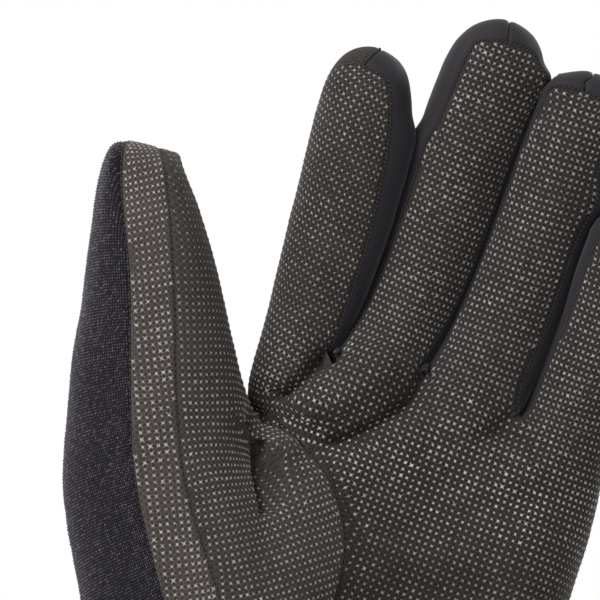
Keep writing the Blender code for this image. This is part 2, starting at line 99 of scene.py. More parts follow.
# Heights of the hand are shares of the palm length above the cuff, places across it are shares of the
# palm width from the glove's middle line, and depths are shares of the palm depth, palm side negative
HAND_FIELDS = ("up", "left", "knit", "strip", "ridge", "valley", "mound", "seam", "right", "heel_corner")
HAND_ROWS = [
    (0.00, -0.543, -0.287, -0.096, -0.061, -0.026, 0.011, 0.048, 0.543, 0.49),
    (0.16, -0.617, -0.340, -0.160, -0.112, -0.064, -0.016, 0.032, 0.580, 0.53),
    (0.32, -0.695, -0.433, -0.248, -0.181, -0.117, -0.048, 0.016, 0.606, 0.56),
    (0.48, -0.777, -0.532, -0.378, -0.277, -0.202, -0.096, 0.022, 0.628, 0.58),
    (0.62, -0.808, -0.596, -0.474, -0.335, -0.262, -0.140, -0.004, 0.638, 0.59),
    (0.70, -0.821, -0.624, -0.500, -0.365, -0.300, -0.235, -0.176, 0.644, 0.59),
]
DEPTH_FIELDS = "thumb_middle front ridge valley mound seam palm heel side back back_edge".split()
DEPTH_ROWS = [
    (0.00, -0.80, -0.86, -0.87, -0.88, -0.88, -0.86, -0.72, 0.00, 0.88, 0.72),
    (-0.10, -0.86, -0.88, -0.86, -0.84, -0.79, -0.72, -0.67, -0.03, 0.73, 0.55),
    (-0.19, -0.91, -0.91, -0.87, -0.83, -0.69, -0.58, -0.64, -0.06, 0.61, 0.44),
    (-0.28, -0.95, -0.94, -0.83, -0.81, -0.59, -0.48, -0.58, -0.06, 0.54, 0.37),
    (-0.34, -0.98, -0.92, -0.58, -0.76, -0.53, -0.45, -0.53, -0.03, 0.50, 0.30),
    (-0.37, -1.00, -0.88, -0.32, -0.54, -0.51, -0.45, -0.50, -0.03, 0.48, 0.25),
]
BACK_EDGE = -0.345
THUMB_BACK_ANGLES = (66, 46, 29, 14)
PATCH_TOP = 0.785
PATCH_MOUND = 0.745
HEEL_DROP = 0.68

# Where the thumb's front corner lies from its edge to the knit's seam, the stretch of a half circle that
# the back's arch takes, and how deep the sides above the thumb lie
CORNER_ACROSS = 0.15
CORNER_DEEP = 0.58
BACK_ARCH = (0.12, 0.88)
SIDE_DEEP = -0.02

# The palm above the thumb's crotch, from the index side to the little finger's side
CROTCH_ACROSS = (-0.309, -0.190, -0.085, 0.030, 0.142, 0.255, 0.370, 0.480, 0.585)
CROTCH_UP = (0.770, 0.845, 0.840, 0.830, 0.815, 0.800, 0.780, 0.760, 0.740)
CROTCH_FRONT = (-0.25, -0.42, -0.44, -0.45, -0.45, -0.46, -0.48, -0.47, -0.33)
UPPER_ACROSS = (-0.350, -0.262, -0.176, -0.054, 0.064, 0.197, 0.340, 0.479, 0.588)
UPPER_UP = (0.840, 0.862, 0.880, 0.895, 0.900, 0.890, 0.860, 0.820, 0.790)
UPPER_FRONT = (-0.30, -0.43, -0.42, -0.45, -0.42, -0.45, -0.42, -0.44, -0.30)
BASE_ACROSS = (-0.352, -0.262, -0.160, -0.045, 0.078, 0.212, 0.350, 0.488, 0.590)
BASE_UP = (0.965, 0.985, 0.985, 1.000, 1.010, 1.000, 0.965, 0.930, 0.900)
BASE_FRONT = (-0.27, -0.41, -0.29, -0.44, -0.29, -0.43, -0.28, -0.40, -0.25)

# Those three rows' back as a share of their front's depth, and their two sides
BACK_SHARE = 1.02
RADIAL_SIDE = (-0.326, -0.370, -0.370)
RADIAL_UP = (0.770, 0.850, 0.970)
ULNAR_SIDE = (0.644, 0.640, 0.634)
ULNAR_UP = (0.740, 0.790, 0.900)
RADIAL_BACK = (0.16, 0.22, 0.26)

# The thumb's sections from its crotch to its tip: up along its length, middle, half width, and where
# its two seams lie between its edges, from -1 at the outside to 1 at the inside
THUMB_FIELDS = ("up", "middle", "half", "deep", "knit", "strip")
THUMB_ROWS = [
    (0.000, -0.584, 0.512, 1.00, -0.26, 0.24),
    (0.180, -0.617, 0.470, 1.00, -0.29, 0.27),
    (0.360, -0.652, 0.420, 0.98, -0.33, 0.34),
    (0.540, -0.690, 0.372, 0.94, -0.39, 0.41),
    (0.705, -0.728, 0.326, 0.88, -0.55, 0.53),
    (0.855, -0.765, 0.262, 0.80, -0.70, 0.70),
    (0.960, -0.787, 0.204, 0.70, -0.80, 0.80),
]
THUMB_TIP_UP = 1.015
THUMB_MIDDLE = -0.40

# Angles round the thumb's section in degrees. The points of its two seams are worked out from the
# sections, and those between the strip's seam and the inside take shares of that seam's angle
THUMB_ANGLES = {"l": 180, "f0": 146, "F0": -2, "R": -18, "B0": -36}
THUMB_ANGLES.update({"b3": -60, "b2": -88, "b1": -118, "b0": -150})
THUMB_SHARES = {"f3": 0.66, "v": 0.40, "g": 0.19}

# The fingers' sections from foot to tip: up along the finger, middle as a share of the palm width, half
# width as a share of the finger's own width, half depth, and the angles of its two palm seams
FINGER_FIELDS = ("up", "middle", "half", "deep", "left_seam", "right_seam")
FINGER_ROWS = {
    "index": [
        (0.120, -0.245, 0.424, 0.98, 168, 42),
        (0.300, -0.237, 0.466, 1.00, 168, 45),
        (0.500, -0.232, 0.494, 1.00, 168, 49),
        (0.700, -0.236, 0.500, 0.98, 166, 55),
        (0.870, -0.247, 0.462, 0.90, 160, 58),
        (0.970, -0.250, 0.330, 0.66, 168, 76),
    ],
    "middle": [
        (0.120, -0.003, 0.429, 0.98, 170, 12),
        (0.300, 0.020, 0.444, 1.00, 167, 12),
        (0.500, 0.029, 0.464, 1.00, 152, 12),
        (0.700, 0.032, 0.492, 0.98, 134, 12),
        (0.870, 0.054, 0.522, 0.90, 129, 14),
        (0.970, 0.061, 0.380, 0.66, 130, 44),
    ],
    "ring": [
        (0.120, 0.244, 0.495, 0.98, 170, 38),
        (0.300, 0.276, 0.464, 1.00, 170, 38),
        (0.500, 0.286, 0.442, 1.00, 170, 34),
        (0.700, 0.302, 0.456, 0.98, 168, 40),
        (0.870, 0.317, 0.462, 0.90, 160, 44),
        (0.970, 0.314, 0.350, 0.66, 140, 56),
    ],
    "little": [
        (0.120, 0.500, 0.548, 0.98, 168, 12),
        (0.300, 0.512, 0.520, 1.00, 168, 12),
        (0.500, 0.524, 0.495, 1.00, 166, 12),
        (0.700, 0.527, 0.485, 0.98, 162, 12),
        (0.870, 0.528, 0.450, 0.90, 156, 16),
        (0.970, 0.532, 0.310, 0.66, 136, 44),
    ],
}

# Each finger's name, length, width, foot height and foot depth, from the index outwards
FINGERS = [
    ("index", INDEX_LENGTH, FINGER_WIDTH, 0.980, -0.02),
    ("middle", MIDDLE_LENGTH, FINGER_WIDTH, 1.000, 0.01),
    ("ring", RING_LENGTH, FINGER_WIDTH, 0.980, 0.01),
    ("little", LITTLE_LENGTH, LITTLE_WIDTH, 0.920, -0.02),
]
FINGER_TIP_UP = 1.032
FINGER_BACK_ANGLE = 48

# The seam round a fingertip is an arch: how far its corners rise from the row below, and its middle
# towards the tip
ARCH_CORNER = 0.70
ARCH_MIDDLE = 0.18

# Folds of the soft palm: start and end across and up, half width as a share of the palm width, and
# depth as a share of the palm depth, negative for a crease
FOLDS = [
    (-0.20, 0.98, -0.28, 0.84, 0.050, -0.055),
    (0.06, 0.93, -0.16, 0.78, 0.060, -0.075),
    (0.00, 0.98, -0.18, 0.88, 0.070, 0.040),
    (0.34, 0.90, 0.20, 0.72, 0.060, -0.050),
    (0.36, 0.50, 0.05, 0.40, 0.070, -0.050),
    (0.42, 0.62, 0.10, 0.54, 0.080, 0.035),
]

# Points round the hand: b and f lie on the thumb's back and front, l on its outer edge, v and g in the
# valley and on the mound beside it, F and B on the palm and the back, U and R on the two sides
PALM_COLUMNS = 9
FRONT_NAMES = [f"F{i}" for i in range(PALM_COLUMNS)]
BACK_NAMES = [f"B{i}" for i in reversed(range(PALM_COLUMNS))]
HAND_NAMES = ["b3", "b2", "b1", "b0", "l", "f0", "f1", "f2", "f3", "v", "g"]
HAND_NAMES += FRONT_NAMES + ["U"] + BACK_NAMES
UPPER_NAMES = FRONT_NAMES + ["U"] + BACK_NAMES + ["R"]
THUMB_NAMES = ["l", "f0", "f1", "f2", "f3", "v", "g", "F0", "R", "B0", "b3", "b2", "b1", "b0"]

# Points round a finger: P on the palm side, B on the back, S on its two sides
FINGER_NAMES = ["P0", "P1", "P2", "SR", "B2", "B1", "B0", "SL"]

# The panels at the fingers' sides, from the index outwards
BETWEEN_FINGERS = [
    "palm_panel",
    "fourchette_index_middle",
    "fourchette_middle_ring",
    "fourchette_ring_little",
    "palm_panel",
]

# How each panel is sewn: record slot, lift above the surface, width and depth of its rolled edge in mm
PANEL_FIELDS = ("slot", "lift", "roll_width", "roll_depth")
PANEL_SEWING = {
    "palm_panel": ("palm_fabric", 0.00, 1.4, 0.42),
    "thumb_strip": ("thumb_fabric", 0.45, 1.0, 0.40),
    "thumb_palm_panel": ("thumb_fabric", 0.40, 1.2, 0.45),
    "web_patch": ("palm_fabric", 0.00, 0.8, 0.12),
    "thumb_knit_panel": ("knit", -0.10, 1.8, 0.70),
    "fourchette_index_middle": ("softshell", -0.15, 1.4, 0.45),
    "fourchette_middle_ring": ("softshell", -0.15, 1.4, 0.45),
    "fourchette_ring_little": ("softshell", -0.15, 1.4, 0.45),
    "back_panel": ("back_softshell", 0.00, 1.6, 0.55),
}
PANELS = list(PANEL_SEWING)

# How deep the cloth turns in at its edge, how deep its inner side lies, and half the gap at a seam
SKIRT_DEPTH = 1.5 * MM
LINING_DEPTH = SKIRT_DEPTH - 0.1 * MM
SEAM_HALF_GAP = 0.10 * MM

# The photograph hardly shows the seam between these two, so no edge is rolled there
HIDDEN_SEAM = ("palm_panel", "web_patch")

# Grip dots: spacing across and along the cloth in mm, turn of the grid in degrees, and size of a dot
DOT_FIELDS = ("across", "along", "turn", "radius")
DOT_GRIDS = {
    "palm_panel": (1.70, 1.72, -8.0, 0.77),
    "thumb_strip": (1.77, 1.79, 19.0, 0.82),
    "thumb_palm_panel": (1.52, 1.78, 8.0, 0.68),
    "web_patch": (1.60, 1.70, -8.0, 0.58),
}

# A dot's height, how far its rim sinks in, its waist as a share of its radius, the bare edge along the
# seams, how unevenly far its points reach, how much dots differ in size, and the shades of waist and point
DOT_HEIGHT = 0.17 * MM
DOT_SINK = 0.05 * MM
DOT_WAIST = 0.31
DOT_MARGIN = 0.75 * MM
DOT_WOBBLE = 0.18
DOT_SPREAD = 0.14
DOT_SHADES = (0.5, 0.15)

# The print is smaller on the index finger: where that finger starts, across and up in metres
INDEX_FOOT = (-0.008, 0.150)
INDEX_DOT_SHARE = 0.82
DOT_FADE = 0.010

# The index finger's tip cap has no dots: where its edge starts, across and up in metres, how steeply it
# rises, and where it ends across
CAP_START = (-0.034, 0.2205)
CAP_RISE = 0.43
CAP_END = -0.020

# Places of a grid nearer together than this are one, and the share by which a place may miss a triangle
SAME_SITE = 0.5 * MM
EDGE_SLACK = 1e-6

# Keeps a division from a length or an area of zero
TINY = 1e-12

# How much the turn of dots, loops and stitches varies in degrees
STAMP_TURN = 5

# Knit loops: spacing along a row and between rows in mm, the rows' rise and the loops' own slant in
# degrees, a loop's size, how far its rim sinks in, the bare edge at the seams, how much loops differ in
# size and reach, and the painted shade of a loop's four rim points and its middle: the yarn is painted
# darker towards the rim, where it sinks in
LOOP_SPACING = 0.70
LOOP_ROW = 0.74
LOOP_RISE = 10.0
LOOP_SLANT = 50.0
LOOP_LENGTH = 0.84 * MM
LOOP_WIDTH = 0.44 * MM
LOOP_HEIGHT = 0.26 * MM
LOOP_SINK = 0.08 * MM
LOOP_MARGIN = 0.5 * MM
LOOP_SPREAD = 0.22
LOOP_WOBBLE = 0.20
LOOP_PAINTED_SHADE = (0.35, 0.0, 0.35, 0.0, 1.0)

# Creases of the palm: route as places across and up in mm, half width, depth (negative for a swollen
# ridge), and which side is the steep one, 1 for the left of the way the route runs
CREASES = {
    "web": ([(-13.6, 153.6), (-17.7, 147.5), (-21.1, 142.0), (-24.3, 138.5), (-27.2, 135.8)], 1.7, 3.4, 1),
    "lobe": ([(-2.0, 158.0), (-5.0, 149.0), (-9.5, 141.5), (-15.0, 136.0), (-21.0, 132.0)], 5.5, -2.0, 0),
    "middle": (
        [(7.6, 157.0), (7.2, 149.4), (4.0, 143.5), (-0.4, 137.9), (-6.0, 133.0), (-13.5, 128.6)],
        2.1,
        3.1,
        -1,
    ),
    "below_middle": ([(12.0, 141.0), (4.0, 132.0), (-6.0, 126.0)], 4.5, -0.9, 0),
    "ring_end": ([(33.5, 150.5), (30.0, 145.0), (24.0, 139.0)], 2.4, 1.2, 0),
    "little_side": ([(46.0, 132.0), (36.0, 126.0), (24.0, 122.0)], 3.2, 0.9, 0),
    "second_stitch": (
        [(-12.4, 129.0), (-8.0, 124.6), (-5.4, 120.2), (-1.1, 115.0), (5.0, 109.4)],
        0.9,
        0.7,
        0,
    ),
    "heel_band": ([(-4.0, 116.0), (10.0, 114.0), (30.0, 118.0)], 4.0, 0.9, 0),
    "ring_band": ([(27.0, 143.0), (36.0, 143.5), (44.0, 141.0)], 2.2, 0.7, 0),
    "thumb_fold": (
        [(-32.1, 133.9), (-28.4, 125.8), (-25.7, 118.7), (-22.5, 111.8), (-20.8, 107.1)],
        2.2,
        4.4,
        -1,
    ),
    "patch_top": ([(-24.5, 119.0), (-23.0, 125.5), (-17.0, 127.0)], 2.4, -1.2, 0),
}

# A crease's half width is multiplied on its steep and its gentle side. It fades towards its ends, from
# a share that it keeps there, and where the cloth turns away from the front
CREASE_STEEP = 0.62
CREASE_GENTLE = 1.35
CREASE_FADE = 5.0
CREASE_START = 0.2
CREASE_FACING = 1.6

# Uneven cloth: size and height of its waves in mm, and their seed, which shifts the noise
CLOTH_WAVES = ((14, 0.30, 1), (5, 0.10, 2))
NOISE_SHIFT = (3.7, 1.3, 5.1)

# How high each pair of neighbouring fingers touches, over what height the touch fades, how far it spreads
# into a finger, how near the middle line it starts and how far a finger reaches past it, in metres, then
# the height of a step, how many steps down a wide place is carried, and how many are evened together
PART_HEIGHTS = (0.2075, 0.2285, 0.2055)
PART_FADE = 0.008
PRESS_SPREAD = 0.0065
PRESS_NEAR = 0.010
PRESS_OVERLAP = 0.00070
PRESS_STEP = 0.001
PRESS_REACH = 3
PRESS_EVEN = 5

# Loose thread on the cloth, away from the seams: route in mm, then pitch, drop, length, thread radius in
# mm and slant in degrees
THREAD_ROUTES = {
    "flap_edge": (
        [(-25.0, 121.5), (-24.7, 126.2), (-22.9, 127.9), (-17.5, 128.6), (-15.6, 127.2)],
        (0.5, -0.15, 0.9, 0.17, 0),
    ),
    "thread_second_row": (
        [(-12.4, 129.0), (-8.5, 125.4), (-6.6, 122.3), (-5.4, 120.2), (-1.1, 115.0), (5.0, 109.4)],
        (1.5, 0.06, 1.0, 0.15, 14),
    ),
    "thread_web_long": (
        [(-28.2, 133.6), (-22.8, 131.2), (-17.7, 128.4), (-13.0, 126.0)],
        (1.0, 0.0, 1.5, 0.24, 26),
    ),
    "thread_web_short": ([(-28.0, 133.0), (-25.5, 130.5), (-20.3, 128.7)], (0.9, 0.0, 1.3, 0.24, -38)),
    "thread_web_cross": ([(-27.5, 131.8), (-24.8, 133.0), (-22.5, 129.5)], (0.8, -0.1, 1.2, 0.22, 62)),
    "thread_crotch_index": ([(-14.6, 151.8), (-12.9, 149.8)], (0.6, -0.1, 1.4, 0.24, 70)),
    "thread_crotch_middle": ([(5.8, 153.8), (7.6, 151.6)], (0.6, -0.1, 1.4, 0.24, 70)),
    "thread_cap": ([(-33.2, 220.8), (-31.5, 221.8), (-28.4, 223.2)], (0.7, 0.05, 1.0, 0.20, 8)),
    "thread_knot": ([(31.4, 148.6), (33.8, 148.9)], (0.5, -0.25, 1.5, 0.24, 55)),
}

# A loose stitch lies at the mean of so many nearest points, of those whose normal has a Y below this
FRONT_FACING = -0.1
FRONT_POINTS = 4

# Stitches along a seam: the panel they lie on, its neighbour, and in mm their pitch, their distance from
# the edge, how far they lie below the cloth, their length and thread radius, then their slant in degrees
STITCH_ROWS = {
    "stitches_index_side": ("palm_panel", "fourchette_index_middle", (1.15, 0.10, 0.10, 1.05, 0.17, 22)),
    "stitches_middle_side": ("palm_panel", "fourchette_middle_ring", (1.15, 0.10, 0.15, 1.05, 0.17, 22)),
    "stitches_ring_side": ("palm_panel", "fourchette_ring_little", (1.15, 0.10, 0.15, 1.05, 0.17, 22)),
    "stitches_palm_back": ("palm_panel", "back_panel", (1.6, 0.10, 0.15, 1.3, 0.17, 10)),
    "stitches_thumb_seam": ("thumb_palm_panel", "thumb_strip", (1.5, 0.05, 0.45, 1.2, 0.15, 6)),
    "stitches_thumb_ball": ("thumb_palm_panel", "palm_panel", (1.5, -0.25, 0.55, 1.2, 0.17, 12)),
    "stitches_web_thumb": ("thumb_palm_panel", "web_patch", (1.2, 0.05, 0.30, 1.1, 0.20, 24)),
    "stitches_knit_strip": ("thumb_strip", "thumb_knit_panel", (1.5, -0.20, 0.60, 1.2, 0.16, 6)),
    "stitches_knit_back": ("back_panel", "thumb_knit_panel", (1.6, 0.10, 0.15, 1.3, 0.17, 10)),
}

# A stitch's rings and sides, how deep its ends dive and how much they thin, as shares of its radius, and
# how much sewn and loose stitches differ in size
THREAD_RINGS = 5
THREAD_SIDES = 6
THREAD_DIVE = 2.4
THREAD_TAPER = 0.25
STITCH_SPREAD = 0.05
LOOSE_SPREAD = 0.12

RELAX_STEPS = 150
SEED = 11

# The cuff: points round it, and rows of its mouth, hem, band and inner side
CUFF_SIDES = 220
MOUTH_ROWS = 6
HEM_ROWS = 8
BAND_ROWS = 32
LINING_ROWS = 12

# The hem bulges and ends in a step with a notch, the band sags in, and the upper rim and the inner side
# lie just within the wall
HEM_BULGE = 0.25 * MM
HEM_STEP = 0.3 * MM
HEM_NOTCH = 0.35 * MM
BAND_SAG = 0.7 * MM
RIM_SHARE = 0.9
INNER_LIFT = 0.1 * MM

# Waves of the cuff's cloth: size in mm, how much they are flattened, height in mm and seed, then how
# they fade at both ends, and the way round the cuff as a share of its width
CUFF_WAVES = ((16, 2.2, 0.8, 5), (6, 3.0, 0.15, 6))
CUFF_FADE = 0.7
CUFF_ROUND = 2.45

HEM_STITCH_HEIGHTS = (12.5 * MM, 14.5 * MM)
HEM_STITCHES = 112
HEM_STITCH_LIFT = 0.2 * MM
HEM_STITCH_LENGTH = 2.0 * MM
HEM_STITCH_RADIUS = 0.19 * MM

# Colours are linear
WHITE = (1, 1, 1, 1)
PALM_LIGHT = (0.0230, 0.0197, 0.0186, 1)
PALM_DARK = (0.0050, 0.0043, 0.0041, 1)
STRIP_LIGHT = (0.0360, 0.0308, 0.0285, 1)
STRIP_DARK = (0.0110, 0.0094, 0.0088, 1)
THUMB_LIGHT = (0.0270, 0.0231, 0.0216, 1)
THUMB_DARK = (0.0080, 0.0068, 0.0064, 1)
SUEDE_SHEEN = (1.0, 0.92, 0.86, 1)
KNIT_SHEEN = (0.9, 0.85, 1.0, 1)
STRETCH_SHEEN = (0.92, 0.92, 1.0, 1)
KNIT_LIGHT = (0.150, 0.136, 0.160, 1)
KNIT_DARK = (0.006, 0.0055, 0.007, 1)
KNIT_SHADOW = (0.0025, 0.0022, 0.003, 1)
SIDE_LIGHT = (0.014, 0.013, 0.015, 1)
SIDE_DARK = (0.006, 0.0055, 0.0065, 1)
BACK_LIGHT = (0.014, 0.0135, 0.0155, 1)
BACK_DARK = (0.006, 0.006, 0.007, 1)
DOT_PALE = (0.33, 0.324, 0.307, 1)
DOT_ARM = (0.130, 0.124, 0.117, 1)
DOT_SHADOW = (0.012, 0.011, 0.010, 1)
STRIP_PALE = (0.235, 0.228, 0.217, 1)
THUMB_PALE = (0.22, 0.214, 0.203, 1)
STRIP_ARM = (0.120, 0.111, 0.103, 1)
THREAD_LIGHT = (0.020, 0.019, 0.021, 1)
THREAD_DARK = (0.005, 0.005, 0.006, 1)
EDGE_LIGHT = (0.075, 0.066, 0.060, 1)
FLOOR_COLOUR = (0.9, 0.9, 0.9, 1)
CLOTH_SPECULAR = 0.06

# Painted shade, in metres: where the palm's cloth darkens across, away from the thumb, and towards the
# wrist, and where its print darkens low and high up
CLOTH_SHADE_ACROSS = (-0.022, 0.002)
CLOTH_SHADE_LOW = (0.085, 0.125)
PRINT_SHADE_LOW = (0.108, 0.126)
PRINT_SHADE_HIGH = (0.134, 0.148)

# The Mix node's sockets for its share, its two colours and its resulting colour
MIX_FACTOR = 0
MIX_FIRST = 6
MIX_SECOND = 7
MIX_RESULT = 2

# The photograph's view: its middle on the glove and its width in metres, and the glove's lean in degrees
VIEW_MIDDLE = (-0.0268, -0.012, 0.16245)
VIEW_WIDTH = 0.150
VIEW_ROLL = 15.0
CAMERA_DISTANCE = 2.5
SENSOR_WIDTH = 36.0
VIEW_END = 20.0
WORLD_STRENGTH = 1.0
FLOOR_SIZE = 2.0
FLOOR_DROP = 0.5 * MM

# Lights: name, place, what they face, size in metres, power in watts, colour
LIGHTS = [
    ("key", (-0.50, -0.52, 0.62), (-0.02, 0.0, 0.15), 0.32, 15.0, (1.0, 0.98, 0.97)),
    ("rim", (0.55, 0.35, 0.70), (0.0, 0.0, 0.16), 0.50, 3.0, (0.97, 0.98, 1.0)),
]


def lerp(a, b, share):
    return a + (b - a) * share


def hand_point(across, up, deep):
    """A point from shares of the palm's width, length and depth."""
    return Vector((across * PALM_WIDTH, deep * PALM_DEPTH, CUFF_LENGTH + up * PALM_LENGTH))


def superellipse(angle, half_width, half_depth, power):
    """A point across and towards the palm on a rounded section. Angle 0 is +X and 90 is the palm side."""
    c = math.cos(math.radians(angle))
    s = math.sin(math.radians(angle))
    across = math.copysign(abs(c) ** (2 / power), c) * half_width
    deep = -math.copysign(abs(s) ** (2 / power), s) * half_depth
    return across, deep


class Cage:
    """The coarse surface: named points, and faces that know which panel they belong to."""

    def __init__(self):
        self.points = []
        self.faces = []

    def add(self, point):
        self.points.append(Vector(point))
        return len(self.points) - 1

    def ring(self, names, points):
        return {name: self.add(points[name]) for name in names}

    def bridge(self, names, low, high, panel_of):
        for i, name in enumerate(names):
            other = names[(i + 1) % len(names)]
            quad = (low[name], low[other], high[other], high[name])
            self.faces.append((quad, panel_of(name, other)))


def hand_row(row, depth):
    """The points round the hand below the thumb's crotch, by name."""
    place = dict(zip(HAND_FIELDS, row))
    deep = dict(zip(DEPTH_FIELDS, depth))
    up = place["up"]
    last = HAND_ROWS[-1][0] == up
    points = {"l": hand_point(place["left"], up, deep["thumb_middle"])}
    corner_across = lerp(place["left"], place["knit"], CORNER_ACROSS)
    points["f0"] = hand_point(corner_across, up, lerp(deep["thumb_middle"], deep["front"], CORNER_DEEP))
    points["f1"] = hand_point(place["knit"], up, deep["front"])
    points["f2"] = hand_point(place["strip"], up, deep["front"])
    points["f3"] = hand_point(place["ridge"], up, deep["ridge"])
    points["v"] = hand_point(place["valley"], up, deep["valley"])
    points["g"] = hand_point(place["mound"], PATCH_MOUND if last else up, deep["mound"])
    seam_up = PATCH_TOP if last else up
    fronts = [
        deep["seam"],
        lerp(deep["seam"], deep["palm"], 0.5),
        deep["palm"],
        deep["palm"],
        deep["palm"],
        lerp(deep["palm"], deep["heel"], 0.5),
        deep["heel"],
        deep["heel"],
        deep["heel"] * HEEL_DROP,
    ]
    for i in range(PALM_COLUMNS):
        share = i / (PALM_COLUMNS - 1)
        across = lerp(place["seam"], place["heel_corner"], share)
        points[f"F{i}"] = hand_point(across, lerp(seam_up, up, share), fronts[i])
        arch = math.sin(math.pi * lerp(*BACK_ARCH, share)) ** 0.5
        back = lerp(deep["back_edge"], deep["back"], arch)
        points[f"B{i}"] = hand_point(lerp(BACK_EDGE, place["heel_corner"], share), up, back)
    points["U"] = hand_point(place["right"], up, deep["side"])
    for i, angle in enumerate(THUMB_BACK_ANGLES):
        s = math.sin(math.radians(angle))
        c = math.cos(math.radians(angle))
        across = lerp(BACK_EDGE, place["left"], s)
        points[f"b{i}"] = hand_point(across, up, lerp(deep["thumb_middle"], deep["back_edge"], c))
    if up == 0:
        points = {name: wrist_point(point) for name, point in points.items()}
    return points


def wrist_point(point):
    """Slides a point of the lowest row onto the rounded section where the cuff is sewn on."""
    across = max(-1.0, min(1.0, point.x / (WRIST_WIDTH / 2)))
    side = math.copysign(1.0, point.y) if abs(across) < 1.0 else 0.0
    deep = (1 - abs(across) ** WRIST_POWER) ** (1 / WRIST_POWER)
    return Vector((across * WRIST_WIDTH / 2, side * deep * WRIST_DEPTH / 2, point.z))


def upper_row(index, across, ups, fronts):
    """The points round the palm between the thumb's crotch and the fingers, by name."""
    points = {}
    for i in range(PALM_COLUMNS):
        points[f"F{i}"] = hand_point(across[i], ups[i], fronts[i])
        back = -fronts[i] * BACK_SHARE if i else RADIAL_BACK[index]
        points[f"B{i}"] = hand_point(across[i], ups[i], back)
    points["R"] = hand_point(RADIAL_SIDE[index], RADIAL_UP[index], SIDE_DEEP)
    points["U"] = hand_point(ULNAR_SIDE[index], ULNAR_UP[index], SIDE_DEEP)
    return points


def thumb_ring(row):
    """The points round the thumb above its crotch, by name."""
    place = dict(zip(THUMB_FIELDS, row))
    half_width = place["half"] * THUMB_WIDTH
    half_depth = place["deep"] * THUMB_DEPTH / 2
    angles = dict(THUMB_ANGLES)
    for name, seam in (("f1", place["knit"]), ("f2", place["strip"])):
        power_angle = math.copysign(abs(seam) ** (SECTION_POWER / 2), seam)
        angles[name] = math.degrees(math.acos(power_angle))
    for name, share in THUMB_SHARES.items():
        angles[name] = angles["f2"] * share
    middle = Vector((place["middle"] * PALM_WIDTH, THUMB_MIDDLE * PALM_DEPTH, 0))
    middle.y -= THUMB_REACH * place["up"]
    middle.z = thumb_height(place["up"])
    points = {}
    for name in THUMB_NAMES:
        across, deep = superellipse(angles[name], half_width, half_depth, SECTION_POWER)
        points[name] = middle + Vector((across, deep, 0))
    return points


def thumb_height(share):
    return CUFF_LENGTH + CROTCH_UP[0] * PALM_LENGTH + share * THUMB_LENGTH


def finger_middle(index, across, share):
    """The middle of a finger's section at a share of its length."""
    _, length, _, foot_up, foot_deep = FINGERS[index]
    foot = hand_point(across, foot_up, foot_deep)
    foot.z += share * length
    foot.y -= FINGER_CURL * share * share
    return foot


def finger_ring(index, row):
    """The eight points round a finger, by name. The section leans forward with the finger's curl."""
    _, length, width, _, _ = FINGERS[index]
    place = dict(zip(FINGER_FIELDS, row))
    left = place["left_seam"]
    right = place["right_seam"]
    back = -FINGER_BACK_ANGLE
    angles = {"P0": left, "P1": (left + right) / 2, "P2": right, "SR": (right + back) / 2}
    angles.update({"B2": back, "B1": -90, "B0": -180 - back, "SL": (left + 180 - back) / 2})
    middle = finger_middle(index, place["middle"], place["up"])
    half_width = place["half"] * width * RING_SWELL
    half_depth = place["deep"] * FINGER_DEPTH / 2 * RING_SWELL
    lean = 2 * FINGER_CURL * place["up"] / length
    points = {}
    for name in FINGER_NAMES:
        across, deep = superellipse(angles[name], half_width, half_depth, SECTION_POWER)
        points[name] = middle + Vector((across, deep, deep * lean))
    return points


def hand_panel(name, other):
    if name in ("b3", "b2", "b1", "b0", "l", "f0") or (name, other) == ("B0", "b3"):
        return "thumb_knit_panel"
    if name == "f1":
        return "thumb_strip"
    if name in ("f2", "f3", "v", "g"):
        return "thumb_palm_panel"
    if name.startswith("B"):
        return "back_panel"
    return "palm_panel"


def upper_panel(name, other):
    return "back_panel" if name.startswith("B") and other.startswith("B") else "palm_panel"


def web_panel(name, other):
    return "web_patch" if name in ("F0", "R") or other == "R" else upper_panel(name, other)


def thumb_panel(name, other):
    if name == "f1":
        return "thumb_strip"
    if name in ("f2", "f3", "v", "g", "F0", "R"):
        return "thumb_palm_panel"
    return "thumb_knit_panel"


def finger_sides(index):
    return BETWEEN_FINGERS[index], BETWEEN_FINGERS[index + 1]


def finger_panel_of(index):
    left, right = finger_sides(index)

    def panel_of(name, other):
        if name in ("P0", "P1"):
            return "palm_panel"
        if name in ("P2", "SR"):
            return right
        if name in ("B2", "B1"):
            return "back_panel"
        return left

    return panel_of


def add_thumb(cage, crotch_ring):
    ring = {name: crotch_ring[name] for name in THUMB_NAMES}
    for row in THUMB_ROWS[1:]:
        above = cage.ring(THUMB_NAMES, thumb_ring(row))
        cage.bridge(THUMB_NAMES, ring, above, thumb_panel)
        ring = above
    front = [ring[name] for name in ("f0", "f1", "f2", "f3", "v", "g")]
    back = [ring[name] for name in ("b0", "b1", "b2", "b3", "B0", "R")]
    middle = [ring["l"]]
    for near, far in zip(front[1:-1], back[1:-1]):
        point = (cage.points[near] + cage.points[far]) / 2
        point.z = thumb_height(THUMB_TIP_UP)
        middle.append(cage.add(point))
    middle.append(ring["F0"])
    panels = ["thumb_knit_panel", "thumb_strip"] + ["thumb_palm_panel"] * 3
    for i, panel in enumerate(panels):
        cage.faces.append(((front[i], front[i + 1], middle[i + 1], middle[i]), panel))
        behind = "thumb_knit_panel" if i < 3 else "thumb_palm_panel"
        cage.faces.append(((middle[i], middle[i + 1], back[i + 1], back[i]), behind))


